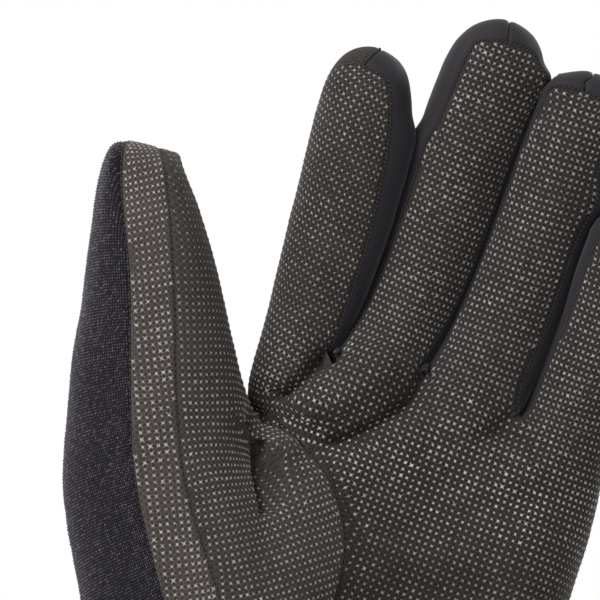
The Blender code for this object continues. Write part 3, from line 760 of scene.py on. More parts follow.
def add_finger(cage, index, base, crotches):
    finger = FINGERS[index][0]
    first = 2 * index
    ring = {
        "P0": base[f"F{first}"],
        "P1": base[f"F{first + 1}"],
        "P2": base[f"F{first + 2}"],
        "SR": crotches[index + 1],
        "B2": base[f"B{first + 2}"],
        "B1": base[f"B{first + 1}"],
        "B0": base[f"B{first}"],
        "SL": crotches[index],
    }
    for row in FINGER_ROWS[finger]:
        above = cage.ring(FINGER_NAMES, finger_ring(index, row))
        cage.bridge(FINGER_NAMES, ring, above, finger_panel_of(index))
        below, ring = ring, above
    top = cage.add(finger_middle(index, FINGER_ROWS[finger][-1][1], FINGER_TIP_UP))
    for name in ("P0", "P2"):
        cage.points[ring[name]] = lerp(cage.points[below[name]], cage.points[ring[name]], ARCH_CORNER)
    cage.points[ring["P1"]] = lerp(cage.points[ring["P1"]], cage.points[top], ARCH_MIDDLE)
    left, right = finger_sides(index)
    cage.faces.append(((ring["P0"], ring["P1"], top, ring["SL"]), left))
    cage.faces.append(((ring["SL"], top, ring["B1"], ring["B0"]), left))
    cage.faces.append(((ring["P1"], ring["P2"], ring["SR"], top), right))
    cage.faces.append(((top, ring["SR"], ring["B2"], ring["B1"]), right))


def make_cage():
    cage = Cage()
    low = None
    for row, depth in zip(HAND_ROWS, DEPTH_ROWS):
        ring = cage.ring(HAND_NAMES, hand_row(row, depth))
        if low:
            cage.bridge(HAND_NAMES, low, ring, hand_panel)
        low = ring
    crotch_points = upper_row(0, CROTCH_ACROSS, CROTCH_UP, CROTCH_FRONT)
    thumb_points = thumb_ring(THUMB_ROWS[0])
    for name in ("F0", "R", "B0"):
        thumb_points[name] = crotch_points[name]
    crotch_points.update(thumb_points)
    names = HAND_NAMES + ["R"]
    crotch = cage.ring(names, crotch_points)
    cage.bridge(HAND_NAMES, low, crotch, hand_panel)
    add_thumb(cage, crotch)
    upper = cage.ring(UPPER_NAMES, upper_row(1, UPPER_ACROSS, UPPER_UP, UPPER_FRONT))
    cage.bridge(UPPER_NAMES, crotch, upper, web_panel)
    base = cage.ring(UPPER_NAMES, upper_row(2, BASE_ACROSS, BASE_UP, BASE_FRONT))
    cage.bridge(UPPER_NAMES, upper, base, upper_panel)
    crotches = [base["R"]]
    for i in (2, 4, 6):
        crotches.append(cage.add((cage.points[base[f"F{i}"]] + cage.points[base[f"B{i}"]]) / 2))
    crotches.append(base["U"])
    for index in range(len(FINGERS)):
        add_finger(cage, index, base, crotches)
    return cage


def flat_share(values):
    return np.clip(values, 0.0, 1.0)


def smooth_step(values):
    values = flat_share(values)
    return values * values * (3 - 2 * values)


def unit(vectors):
    return vectors / np.maximum(np.linalg.norm(vectors, axis=-1, keepdims=True), TINY)


def square_to(vectors, normals):
    """The share of each vector that is square to its normal, at unit length."""
    return unit(vectors - normals * (vectors * normals).sum(axis=1, keepdims=True))


def turn_flat(x, y, degrees):
    c = math.cos(math.radians(degrees))
    s = math.sin(math.radians(degrees))
    return x * c - y * s, x * s + y * c


def tree_of(points):
    tree = kdtree.KDTree(len(points))
    for i, point in enumerate(points.tolist()):
        tree.insert(point, i)
    tree.balance()
    return tree


def run_of(points):
    """How far along a line each of its points lies."""
    return np.concatenate([[0.0], np.cumsum(np.linalg.norm(np.diff(points, axis=0), axis=1))])


def rows_at(marks, run, rows):
    """The rows of values at marks along a line whose points have the given runs."""
    return np.stack([np.interp(marks, run, column) for column in rows.T], axis=1)


def add_object(name, data):
    item = bpy.data.objects.new(name, data)
    bpy.context.scene.collection.objects.link(item)
    return item


def read(items, name, width, kind=float):
    """One property of all items of a mesh, as rows of the given width."""
    values = np.zeros(len(items) * width, np.float32 if kind is float else np.int32)
    items.foreach_get(name, values)
    return values.reshape(-1, width).astype(kind)


def unroll(cage, panel):
    """Lays a panel of the cage flat, like its cut cloth. Gives each of its points a place in metres."""
    faces = [face for face, owner in cage.faces if owner == panel]
    names = sorted({corner for face in faces for corner in face})
    index = {name: i for i, name in enumerate(names)}
    flat_faces = [[index[name] for name in face] for face in faces]
    mesh = bpy.data.meshes.new("flat")
    mesh.from_pydata([tuple(cage.points[name]) for name in names], [], flat_faces)
    mesh.uv_layers.new(name="cloth")
    guide = add_object("flat", mesh)
    for other in bpy.context.selected_objects:
        other.select_set(False)
    guide.select_set(True)
    bpy.context.view_layer.objects.active = guide
    bpy.ops.object.mode_set(mode="EDIT")
    bpy.ops.mesh.select_all(action="SELECT")
    bpy.ops.uv.unwrap(method="ANGLE_BASED", margin=0.0)
    bpy.ops.object.mode_set(mode="OBJECT")
    corners = read(mesh.loops, "vertex_index", 1, int).ravel()
    flat = read(mesh.uv_layers["cloth"].data, "uv", 2)
    places = {names[corner]: place for corner, place in zip(corners, flat)}
    bpy.data.objects.remove(guide, do_unlink=True)
    bpy.data.meshes.remove(mesh)
    relax_places(faces, cage.points, places)
    turn_upright(cage.points, places)
    return places


def relax_places(faces, points, places):
    """Moves the flat places until the distances between them match those on the glove."""
    names = list(places)
    index = {name: i for i, name in enumerate(names)}
    pairs = {}
    for face in faces:
        for i, j in ((0, 1), (1, 2), (2, 3), (3, 0), (0, 2), (1, 3)):
            pair = tuple(sorted((face[i], face[j])))
            pairs[pair] = (points[pair[0]] - points[pair[1]]).length
    a = np.array([index[pair[0]] for pair in pairs])
    b = np.array([index[pair[1]] for pair in pairs])
    rest = np.array(list(pairs.values()))
    flat = np.array([places[name] for name in names])
    share = np.bincount(np.concatenate([a, b]), minlength=len(names))[:, None]
    flat *= rest.sum() / np.linalg.norm(flat[b] - flat[a], axis=1).sum()
    for _ in range(RELAX_STEPS):
        gap = flat[b] - flat[a]
        length = np.maximum(np.linalg.norm(gap, axis=1), TINY)
        push = gap * ((length - rest) / length * 0.5)[:, None]
        move = np.zeros_like(flat)
        np.add.at(move, a, push)
        np.add.at(move, b, -push)
        flat += move / share
    for name, place in zip(names, flat):
        places[name] = place


def turn_upright(points, places):
    """Turns the flat cloth so that its second coordinate runs up the hand."""
    names = list(places)
    flat = np.array([places[name] for name in names])
    height = np.array([points[name].z for name in names])
    middle = flat.mean(axis=0)
    slope = np.linalg.lstsq(flat - middle, height - height.mean(), rcond=None)[0]
    up = slope / np.linalg.norm(slope)
    across = np.array([up[1], -up[0]])
    for name in names:
        offset = places[name] - middle
        places[name] = np.array([offset @ across, offset @ up])


class Skin:
    """A subdivided surface as arrays: points, quads, each quad's panel, and each corner's cloth place."""

    def __init__(self, cage, places, level):
        mesh = bpy.data.meshes.new("cage")
        mesh.from_pydata([tuple(p) for p in cage.points], [], [list(face) for face, _ in cage.faces])
        layer = mesh.uv_layers.new(name="cloth")
        corners = []
        for polygon, (face, panel) in zip(mesh.polygons, cage.faces):
            polygon.material_index = PANELS.index(panel)
            corners += [value for corner in face for value in places[panel][corner]]
        layer.data.foreach_set("uv", corners)
        for _ in PANELS:
            mesh.materials.append(None)
        guide = add_object("cage", mesh)
        subdivision = guide.modifiers.new("subdivision", "SUBSURF")
        subdivision.levels = level
        subdivision.render_levels = level
        subdivision.uv_smooth = "PRESERVE_BOUNDARIES"
        fine = bpy.data.meshes.new_from_object(guide.evaluated_get(bpy.context.evaluated_depsgraph_get()))
        count = len(fine.polygons)
        self.points = read(fine.vertices, "co", 3)
        self.quads = read(fine.loops, "vertex_index", 1, int).reshape(count, 4)
        self.panel = read(fine.polygons, "material_index", 1, int).ravel()
        self.cloth = read(fine.uv_layers["cloth"].data, "uv", 2).reshape(count, 4, 2)
        bpy.data.objects.remove(guide, do_unlink=True)
        bpy.data.meshes.remove(mesh)
        bpy.data.meshes.remove(fine)
        self.refresh()

    def refresh(self):
        self.normals = point_normals(self.points, self.quads)


def point_normals(points, quads):
    a, b, c, d = (points[quads[:, i]] for i in range(4))
    faces = np.cross(c - a, d - b)
    total = np.zeros_like(points)
    for i in range(4):
        for axis in range(3):
            total[:, axis] += np.bincount(quads[:, i], weights=faces[:, axis], minlength=len(points))
    return unit(total)


def along_route(flat, route):
    """Distance of flat points from a route, the side they lie on, and the share along it."""
    lengths = [math.dist(a, b) for a, b in zip(route, route[1:])]
    best = np.full(len(flat), np.inf)
    side = np.zeros(len(flat))
    share = np.zeros(len(flat))
    done = 0.0
    for a, b, length in zip(route, route[1:], lengths):
        step = (np.array(b) - a) / length
        offset = flat - np.array(a)
        run = np.clip(offset @ step, 0.0, length)
        gap = offset - run[:, None] * step
        distance = np.linalg.norm(gap, axis=1)
        nearer = distance < best
        best = np.where(nearer, distance, best)
        side = np.where(nearer, np.sign(step[0] * gap[:, 1] - step[1] * gap[:, 0]), side)
        share = np.where(nearer, (done + run) / sum(lengths), share)
        done += length
    return best, side, share


def fold_lift(points):
    """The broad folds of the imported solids, in metres."""
    flat = points[:, [0, 2]]
    total = np.zeros(len(points))
    for x1, z1, x2, z2, width, height in FOLDS:
        ends = [(x * PALM_WIDTH, z * PALM_LENGTH + CUFF_LENGTH) for x, z in ((x1, z1), (x2, z2))]
        distance = along_route(flat, ends)[0] / (width * PALM_WIDTH)
        total += height * PALM_DEPTH * np.exp(-distance * distance)
    return total


def crease_lift(points):
    """The sharper creases and the ridges between them, in metres."""
    flat = points[:, [0, 2]]
    total = np.zeros(len(points))
    for route, width, depth, steep in CREASES.values():
        distance, side, share = along_route(flat, [(x * MM, z * MM) for x, z in route])
        distance = distance / (width * MM)
        if steep:
            distance = distance / np.where(side * steep > 0, CREASE_STEEP, CREASE_GENTLE)
        fade = smooth_step(np.minimum(share, 1 - share) * CREASE_FADE + CREASE_START)
        total -= np.exp(-distance * distance) * depth * fade * MM
    return total


def side_curve(index, side, crotch):
    """How far a finger's side reaches across, against the height, from the crotch upwards."""
    finger, _, width, _, _ = FINGERS[index]
    heights = [crotch.z]
    reaches = [crotch.x]
    for row in FINGER_ROWS[finger]:
        place = dict(zip(FINGER_FIELDS, row))
        middle = finger_middle(index, place["middle"], place["up"])
        heights.append(middle.z)
        reaches.append(middle.x + side * place["half"] * width)
    return heights, reaches


def nearest_cloth(distance, bins, count):
    """The least distance in each step of height, with wide places carried down and evened out."""
    least = np.full(count, np.inf)
    np.minimum.at(least, bins, distance)
    known = np.nonzero(np.isfinite(least))[0]
    least = np.interp(np.arange(count), known, least[known])
    above = np.pad(least, (0, PRESS_REACH), mode="edge")
    least = np.maximum.reduce([above[k : k + count] for k in range(PRESS_REACH + 1)])
    padded = np.pad(least, PRESS_EVEN // 2, mode="edge")
    even = np.convolve(padded, np.ones(PRESS_EVEN) / PRESS_EVEN, mode="valid")
    return np.maximum(least, even)


def press_fingers(skin):
    """Swells the sides of neighbouring fingers until they touch, up to the height where they part."""
    for left, part_height in enumerate(PART_HEIGHTS):
        column = 2 * (left + 1)
        crotch = hand_point(BASE_ACROSS[column], BASE_UP[column], 0.0)
        heights = skin.points[:, 2]
        low = np.interp(heights, *side_curve(left, 1, crotch))
        high = np.interp(heights, *side_curve(left + 1, -1, crotch))
        offset = skin.points[:, 0] - (low + high) / 2
        near = (np.abs(offset) < PRESS_NEAR) & (heights > crotch.z) & (heights < part_height + PART_FADE)
        bins = ((heights - crotch.z) / PRESS_STEP).astype(int)
        count = bins[near].max() + 1
        steps = crotch.z + (np.arange(count) + 0.5) * PRESS_STEP
        sides = {side: near & (offset * side >= 0) for side in (-1, 1)}
        nearest = {}
        for side, mine in sides.items():
            least = nearest_cloth(offset[mine] * side, bins[mine], count)
            nearest[side] = np.interp(heights, steps, least)
        move = (nearest[-1] + nearest[1]) / 2 + PRESS_OVERLAP
        meet = (nearest[1] - nearest[-1]) / 2
        for side, mine in sides.items():
            here = offset * side
            weight = smooth_step(1 - (here - nearest[side]) / PRESS_SPREAD)
            weight *= smooth_step((part_height + PART_FADE - heights) / PART_FADE)
            limit = np.minimum(here, meet * side - PRESS_OVERLAP)
            moved = np.maximum(here - move * weight, limit)
            skin.points[mine, 0] += (moved - here)[mine] * side
    skin.refresh()


def cloth_noise(points, size, seed):
    """Smooth waves of about the given size over the cloth, from -1 to 1."""
    shift = Vector([seed * part for part in NOISE_SHIFT])
    return np.array([noise.noise(Vector(p) / size + shift) for p in points.tolist()])


def add_relief(skin, fine):
    """Folds and creases on the palm's side and, on the fine skin, touching fingers and uneven cloth."""
    if fine:
        press_fingers(skin)
    facing = flat_share(-skin.normals[:, 1])
    lift = fold_lift(skin.points) * facing
    lift += crease_lift(skin.points) * smooth_step(facing * CREASE_FACING)
    if fine:
        for size, height, seed in CLOTH_WAVES:
            lift += cloth_noise(skin.points, size * MM, seed) * height * MM
    skin.points = skin.points + skin.normals * lift[:, None]
    skin.refresh()


class Panel:
    """One sewn panel's share of the skin, with its edge and each point's distance from a shown seam."""

    def __init__(self, skin, name):
        self.name = name
        self.sewing = dict(zip(PANEL_FIELDS, PANEL_SEWING[name]))
        mine = skin.panel == PANELS.index(name)
        quads = skin.quads[mine]
        self.used, local = np.unique(quads, return_inverse=True)
        self.quads = local.reshape(quads.shape)
        self.cloth = skin.cloth[mine]
        self.points = skin.points[self.used]
        self.normals = skin.normals[self.used]
        self.find_edge(skin)
        self.sew()

    def find_edge(self, skin):
        starts = self.quads.ravel()
        ends = np.roll(self.quads, -1, axis=1).ravel()
        size = len(self.used)
        forward = starts.astype(np.int64) * size + ends
        backward = ends.astype(np.int64) * size + starts
        outer = ~np.isin(forward, backward)
        self.edge = np.stack([starts[outer], ends[outer]], axis=1)
        self.edge_corners = np.nonzero(outer)[0]
        shown = np.unique(self.edge)
        if self.name in HIDDEN_SEAM:
            other = PANELS.index(HIDDEN_SEAM[1 - HIDDEN_SEAM.index(self.name)])
            shown = shown[~np.isin(self.used[shown], skin.quads[skin.panel == other])]
        tree = tree_of(self.points[shown])
        self.distance = np.array([tree.find(point)[2] for point in self.points.tolist()])
        centres = self.points[self.quads].mean(axis=1)
        inward = np.zeros_like(self.points)
        for i in range(4):
            step = unit(centres - self.points[self.quads[:, i]])
            np.add.at(inward, self.quads[:, i], step)
        self.inward = square_to(inward, self.normals)
        self.is_rim = np.zeros(size, bool)
        self.is_rim[shown] = True

    def sew(self):
        """Lifts the panel, rolls its edge in and leaves a thin gap at the seam."""
        self.lift = self.sewing["lift"] * MM
        rolled = flat_share(1 - self.distance / (self.sewing["roll_width"] * MM)) ** 2
        out = self.lift - rolled * self.sewing["roll_depth"] * MM
        self.surface = self.points + self.normals * out[:, None]
        self.surface[self.is_rim] += self.inward[self.is_rim] * SEAM_HALF_GAP
        self.surface_normals = point_normals(self.surface, self.quads)


def new_piece(name, points, faces, corners, material, slot):
    """A piece that rides on the glove's one body and takes the given material."""
    mesh = bpy.data.meshes.new(name)
    mesh.from_pydata(points.tolist(), [], faces)
    layer = mesh.uv_layers.new(name="cloth")
    layer.data.foreach_set("uv", np.asarray(corners, np.float32).ravel())
    mesh.materials.append(material)
    mesh.shade_smooth()
    piece = add_object(name, mesh)
    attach(piece, "root")
    return piece


def make_skin_piece(panel, lining, material):
    """The visible cloth of a panel with its turned-in edge and the inner side towards the hand."""
    count = len(panel.surface)
    rim = np.unique(panel.edge)
    deep = panel.surface[rim] - panel.normals[rim] * (SKIRT_DEPTH + panel.lift)
    below = {int(v): count + i for i, v in enumerate(rim)}
    faces = panel.quads.tolist()
    cloth = panel.cloth.reshape(-1, 2)
    for a, b in panel.edge.tolist():
        faces.append([b, a, below[a], below[b]])
    skirt = np.repeat(cloth[panel.edge_corners], 4, axis=0)
    inner_quads, inner_points, inner_cloth = lining
    faces += (inner_quads[:, ::-1] + count + len(deep)).tolist()
    corners = np.concatenate([cloth, skirt, inner_cloth[:, ::-1].reshape(-1, 2)])
    points = np.concatenate([panel.surface, deep, inner_points])
    piece = new_piece(panel.name + "_cloth", points, faces, corners, material, panel.sewing["slot"])
    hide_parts(panel.name)


def lining_of(skin, name):
    """A panel's inner side: its quads, points and cloth places."""
    mine = skin.panel == PANELS.index(name)
    used, local = np.unique(skin.quads[mine], return_inverse=True)
    return local.reshape(-1, 4), skin.points[used] - skin.normals[used] * LINING_DEPTH, skin.cloth[mine]


def cloth_sites(panel, across, along, turn, margin):
    """The places of a grid on a panel's cloth: point, normal, and unit steps along the grid's two ways."""
    c = math.cos(math.radians(turn))
    s = math.sin(math.radians(turn))
    grid = panel.cloth @ np.array([[c, -s], [s, c]]) / np.array([across, along])
    low = np.ceil(grid.min(axis=1))
    high = grid.max(axis=1)
    found = []
    for i in range(3):
        for j in range(3):
            node = low + np.array([i, j])
            inside = (node <= high).all(axis=1)
            for corners in ((0, 1, 2), (0, 2, 3)):
                found.append(sites_in_triangles(panel, grid, node, inside, corners))
    points, normals, rights, ups, nodes, distances = (np.concatenate(part) for part in zip(*found))
    keys = np.column_stack([nodes, np.round(points / SAME_SITE)])
    _, keep = np.unique(keys, axis=0, return_index=True)
    keep = keep[distances[keep] > margin]
    tree = tree_of(points[keep])
    first = [min(i for _, i, _ in tree.find_range(point, SAME_SITE)) for point in points[keep].tolist()]
    keep = keep[np.array(first) == np.arange(len(keep))]
    return points[keep], normals[keep], rights[keep], ups[keep]


def sites_in_triangles(panel, grid, node, inside, corners):
    """The grid's nodes that lie in one triangle of the marked quads, as places on the cloth."""
    rows = np.nonzero(inside)[0]
    places = grid[rows][:, corners]
    verts = panel.quads[rows][:, corners]
    e1 = places[:, 1] - places[:, 0]
    e2 = places[:, 2] - places[:, 0]
    offset = node[rows] - places[:, 0]
    area = e1[:, 0] * e2[:, 1] - e1[:, 1] * e2[:, 0]
    area = np.where(np.abs(area) < TINY, TINY, area)
    b1 = (offset[:, 0] * e2[:, 1] - offset[:, 1] * e2[:, 0]) / area
    b2 = (e1[:, 0] * offset[:, 1] - e1[:, 1] * offset[:, 0]) / area
    hit = (b1 >= -EDGE_SLACK) & (b2 >= -EDGE_SLACK) & (b1 + b2 <= 1 + EDGE_SLACK)
    weights = np.stack([1 - b1 - b2, b1, b2], axis=1)[hit]
    verts = verts[hit]
    corner_points = panel.surface[verts]
    points = (corner_points * weights[:, :, None]).sum(axis=1)
    normals = unit((panel.surface_normals[verts] * weights[:, :, None]).sum(axis=1))
    distances = (panel.distance[verts] * weights).sum(axis=1)
    side1 = corner_points[:, 1] - corner_points[:, 0]
    side2 = corner_points[:, 2] - corner_points[:, 0]
    e1, e2, area = e1[hit], e2[hit], area[hit]
    right = (side1 * e2[:, 1:] - side2 * e1[:, 1:]) / area[:, None]
    up = (side2 * e1[:, :1] - side1 * e2[:, :1]) / area[:, None]
    return points, normals, square_to(right, normals), square_to(up, normals), node[rows][hit], distances


def stamp(name, sites, form, material, slot, spread, wobble=0.0, scale=1.0):
    """Makes a piece of small copies of a form, one on each site.

    The form is its points across, along and out in metres, its faces, and each point's shade. Copies vary
    in size by the spread, and their points in reach by the wobble.
    """
    shape, faces, shade = form
    points, normals, rights, ups = sites
    count = len(points)
    chance = np.random.default_rng(SEED)
    turn = chance.normal(0.0, math.radians(STAMP_TURN), count)
    size = (scale * chance.normal(1.0, spread, count))[:, None, None]
    tone = chance.random(count)
    c = np.cos(turn)[:, None]
    s = np.sin(turn)[:, None]
    turned_right = rights * c + ups * s
    turned_up = ups * c - rights * s
    shape = np.asarray(shape)
    reach = chance.normal(1.0, wobble, (count, len(shape), 1)) if wobble else 1.0
    local = (
        turned_right[:, None, :] * (shape[None, :, :1] * reach)
        + turned_up[:, None, :] * (shape[None, :, 1:2] * reach)
        + normals[:, None, :] * shape[None, :, 2:]
    )
    placed = (points[:, None, :] + local * size).reshape(-1, 3)
    steps = np.arange(count)[:, None] * len(shape)
    all_faces = []
    corners = []
    for face in faces:
        all_faces += (steps + np.array(face)[None, :]).tolist()
        tones = [np.stack([np.full(count, shade[v]), tone], axis=1) for v in face]
        corners.append(np.stack(tones, axis=1).reshape(-1, 2))
    new_piece(name, placed, all_faces, np.concatenate(corners), material, slot)


def make_dots(panel, material):
    """Small raised crosses with four points, pale in the middle, on the grid of the cloth."""
    grid = dict(zip(DOT_FIELDS, DOT_GRIDS[panel.name]))
    sites = cloth_sites(panel, grid["across"] * MM, grid["along"] * MM, grid["turn"], DOT_MARGIN)
    radius = grid["radius"] * MM
    shape = [(0.0, 0.0, DOT_HEIGHT)]
    for i in range(8):
        reach = radius if i % 2 else radius * DOT_WAIST
        angle = math.pi / 4 * i
        shape.append((reach * math.cos(angle), reach * math.sin(angle), -DOT_SINK))
    faces = [(0, i + 1, (i + 1) % 8 + 1) for i in range(8)]
    shade = [1.0] + [DOT_SHADES[i % 2] for i in range(8)]
    spots = sites[0]
    capped = spots[:, 2] > CAP_START[1] + (spots[:, 0] - CAP_START[0]) * CAP_RISE
    capped &= spots[:, 0] < CAP_END
    sites = tuple(part[~capped] for part in sites)
    spots = sites[0]
    on_index = smooth_step((spots[:, 2] - INDEX_FOOT[1]) / DOT_FADE)
    on_index = on_index * smooth_step((INDEX_FOOT[0] - spots[:, 0]) / DOT_FADE)
    scale = lerp(1.0, INDEX_DOT_SHARE, on_index)
    form = (shape, faces, shade)
    stamp(panel.name + "_dots", sites, form, material, panel.sewing["slot"], DOT_SPREAD, DOT_WOBBLE, scale)


def make_loops(panel, material):
    """The knit: rows of slanted yarn loops."""
    sites = cloth_sites(panel, LOOP_SPACING * MM, LOOP_ROW * MM, LOOP_RISE, LOOP_MARGIN)
    shape = []
    for x, y in ((-1.0, 0.0), (0.0, -1.0), (1.0, 0.0), (0.0, 1.0)):
        shape.append((*turn_flat(x * LOOP_LENGTH / 2, y * LOOP_WIDTH / 2, LOOP_SLANT), -LOOP_SINK))
    shape.append((0.0, 0.0, LOOP_HEIGHT))
    faces = [(0, 1, 4), (1, 2, 4), (2, 3, 4), (3, 0, 4)]
    form = (shape, faces, LOOP_PAINTED_SHADE)
    stamp("thumb_knit_loops", sites, form, material, "knit", LOOP_SPREAD, LOOP_WOBBLE)


def seam_lines(panel, skin, neighbour):
    """The edges of a panel that it shares with a neighbour, as ordered lines of the panel's own points."""
    other = PANELS.index(neighbour)
    at_other = np.zeros(len(skin.points), bool)
    at_other[skin.quads[skin.panel == other].ravel()] = True
    shared = {}
    for a, b in panel.edge.tolist():
        if at_other[panel.used[a]] and at_other[panel.used[b]]:
            shared[a] = b
    starts = [a for a in shared if a not in set(shared.values())] or list(shared)[:1]
    lines = []
    for start in starts:
        line = [start]
        while line[-1] in shared and shared[line[-1]] != start:
            line.append(shared[line[-1]])
        lines.append(line)
    return lines


def stitch_sites(panel, line, pitch, inset, drop):
    """Evenly spaced places beside a seam, set in from the edge and sunk below the cloth's highest level."""
    points = panel.points[line] + panel.inward[line] * inset
    points += panel.normals[line] * (panel.lift - drop)
    run = run_of(points)
    count = int(run[-1] / pitch)
    marks = (np.arange(count) + 0.5) * run[-1] / max(count, 1)
    rights = unit(rows_at(marks + pitch / 4, run, points) - rows_at(marks - pitch / 4, run, points))
    normals = square_to(rows_at(marks, run, panel.normals[line]), rights)
    return rows_at(marks, run, points), normals, rights, np.cross(normals, rights)


def front_sites(skin, route, pitch, drop):
    """Evenly spaced places along a route drawn on the front of the glove."""
    front = np.nonzero(skin.normals[:, 1] < FRONT_FACING)[0]
    tree = tree_of(skin.points[front] * np.array([1.0, 0.0, 1.0]))
    route = np.array(route) * MM
    run = run_of(route)
    marks = np.arange(pitch / 2, run[-1], pitch)
    spots = []
    normals = []
    for x, z in rows_at(marks, run, route):
        found = [front[i] for _, i, _ in tree.find_n((x, 0.0, z), FRONT_POINTS)]
        spots.append((x, skin.points[found, 1].mean(), z))
        normals.append(skin.normals[found].mean(axis=0))
    normals = unit(np.array(normals))
    spots = np.array(spots) - normals * drop
    rights = square_to(unit(np.gradient(spots, axis=0)), normals)
    return spots, normals, rights, np.cross(normals, rights)


def thread_form(length, radius, slant):
    """One stitch: a short thread that rises out of the cloth and dives back in."""
    shape = []
    for i in range(THREAD_RINGS):
        share = i / (THREAD_RINGS - 1) * 2 - 1
        lift = radius * (1.0 - THREAD_DIVE * share * share)
        thick = radius * (1.0 - THREAD_TAPER * share * share)
        for k in range(THREAD_SIDES):
            angle = 2 * math.pi * k / THREAD_SIDES
            place = turn_flat(share * length / 2, thick * math.cos(angle), slant)
            shape.append((*place, lift + thick * math.sin(angle)))
    faces = []
    for i in range(THREAD_RINGS - 1):
        for k in range(THREAD_SIDES):
            a = i * THREAD_SIDES + k
            b = i * THREAD_SIDES + (k + 1) % THREAD_SIDES
            faces.append((a, a + THREAD_SIDES, b + THREAD_SIDES, b))
    return shape, faces, [1.0] * len(shape)


def make_loose_thread(name, skin, route, look, material):
    pitch, drop, length, radius, slant = look
    sites = front_sites(skin, route, pitch * MM, drop * MM)
    form = thread_form(length * MM, radius * MM, slant)
    stamp(name, sites, form, material, "palm_fabric", LOOSE_SPREAD)


def make_stitches(name, panel, skin, neighbour, look, material):
    """A row of stitches along the seam between two panels."""
    pitch, inset, drop, length, radius, slant = look
    lines = seam_lines(panel, skin, neighbour)
    blocks = [stitch_sites(panel, line, pitch * MM, inset * MM, drop * MM) for line in lines]
    sites = tuple(np.concatenate(part) for part in zip(*blocks))
    form = thread_form(length * MM, radius * MM, slant)
    stamp(name, sites, form, material, panel.sewing["slot"], STITCH_SPREAD)


def cuff_ring(height, lift, sides):
    """Points round the cuff at a height, lifted outwards from its surface."""
    share = height / CUFF_LENGTH
    half_width = lerp(CUFF_WIDTH, WRIST_WIDTH, share) / 2 + lift
    half_depth = lerp(CUFF_DEPTH, WRIST_DEPTH, share) / 2 + lift
    angles = [360 * i / sides for i in range(sides)]
    return [(*superellipse(angle, half_width, half_depth, WRIST_POWER), height) for angle in angles]


def cuff_profile():
    """The cuff's section from its mouth up the outside and back down the inside: height and lift outwards."""
    top = CUFF_LENGTH - SEAM_GAP
    half_wall = CUFF_WALL / 2
    band_foot = HEM_HEIGHT + 2 * HEM_STEP
    rows = []
    for i in range(MOUTH_ROWS + 1):
        angle = math.pi * i / MOUTH_ROWS
        rows.append((half_wall * (1 - math.sin(angle)), HEM_THICKNESS - half_wall * (1 + math.cos(angle))))
    for i in range(1, HEM_ROWS):
        share = i / HEM_ROWS
        bulge = HEM_BULGE * math.sin(math.pi * share)
        rows.append((lerp(half_wall, HEM_HEIGHT, share), HEM_THICKNESS + bulge))
    rows.append((HEM_HEIGHT + HEM_STEP, HEM_THICKNESS - HEM_STEP))
    rows.append((band_foot, -HEM_NOTCH))
    for i in range(1, BAND_ROWS + 1):
        share = i / BAND_ROWS
        rows.append((lerp(band_foot, top, share), -BAND_SAG * math.sin(math.pi * share)))
    rows.append((top, -RIM_SHARE * CUFF_WALL))
    for i in range(1, LINING_ROWS):
        rows.append((lerp(top, half_wall, i / LINING_ROWS), INNER_LIFT - CUFF_WALL))
    return rows


def make_cuff(material):
    rows = cuff_profile()
    points = np.array([point for height, lift in rows for point in cuff_ring(height, lift, CUFF_SIDES)])
    out = unit(points * np.array([1.0, 1.0, 0.0]))
    wave = np.zeros(len(points))
    for size, stretch, height, seed in CUFF_WAVES:
        wave += cloth_noise(points * np.array([1.0, 1.0, stretch]), size * MM, seed) * height * MM
    share = flat_share(points[:, 2] / CUFF_LENGTH)
    points += out * (wave * np.sin(np.pi * share) ** CUFF_FADE)[:, None]
    faces = []
    corners = []
    around = np.cumsum([0.0] + [CUFF_WIDTH * CUFF_ROUND / CUFF_SIDES] * CUFF_SIDES)
    travel = np.cumsum([0.0] + [math.dist(a, b) for a, b in zip(rows, rows[1:] + rows[:1])])
    for i in range(len(rows)):
        low = i * CUFF_SIDES
        high = (i + 1) % len(rows) * CUFF_SIDES
        for j in range(CUFF_SIDES):
            k = (j + 1) % CUFF_SIDES
            faces.append((low + j, low + k, high + k, high + j))
            corners += [(around[j + x], travel[i + z]) for x, z in ((0, 0), (1, 0), (1, 1), (0, 1))]
    piece = new_piece("cuff_cloth", points, faces, corners, material, "cuff_fabric")
    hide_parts("cuff")


def make_hem_stitches(material):
    blocks = []
    for height in HEM_STITCH_HEIGHTS:
        points = np.array(cuff_ring(height, HEM_THICKNESS + HEM_STITCH_LIFT, HEM_STITCHES))
        rights = unit(np.roll(points, -1, axis=0) - np.roll(points, 1, axis=0))
        ups = np.tile(np.array([0.0, 0.0, 1.0]), (len(points), 1))
        blocks.append((points, np.cross(rights, ups), rights, ups))
    sites = tuple(np.concatenate(part) for part in zip(*blocks))
    form = thread_form(HEM_STITCH_LENGTH, HEM_STITCH_RADIUS, 0)
    stamp("hem_stitches", sites, form, material, "cuff_fabric", STITCH_SPREAD)


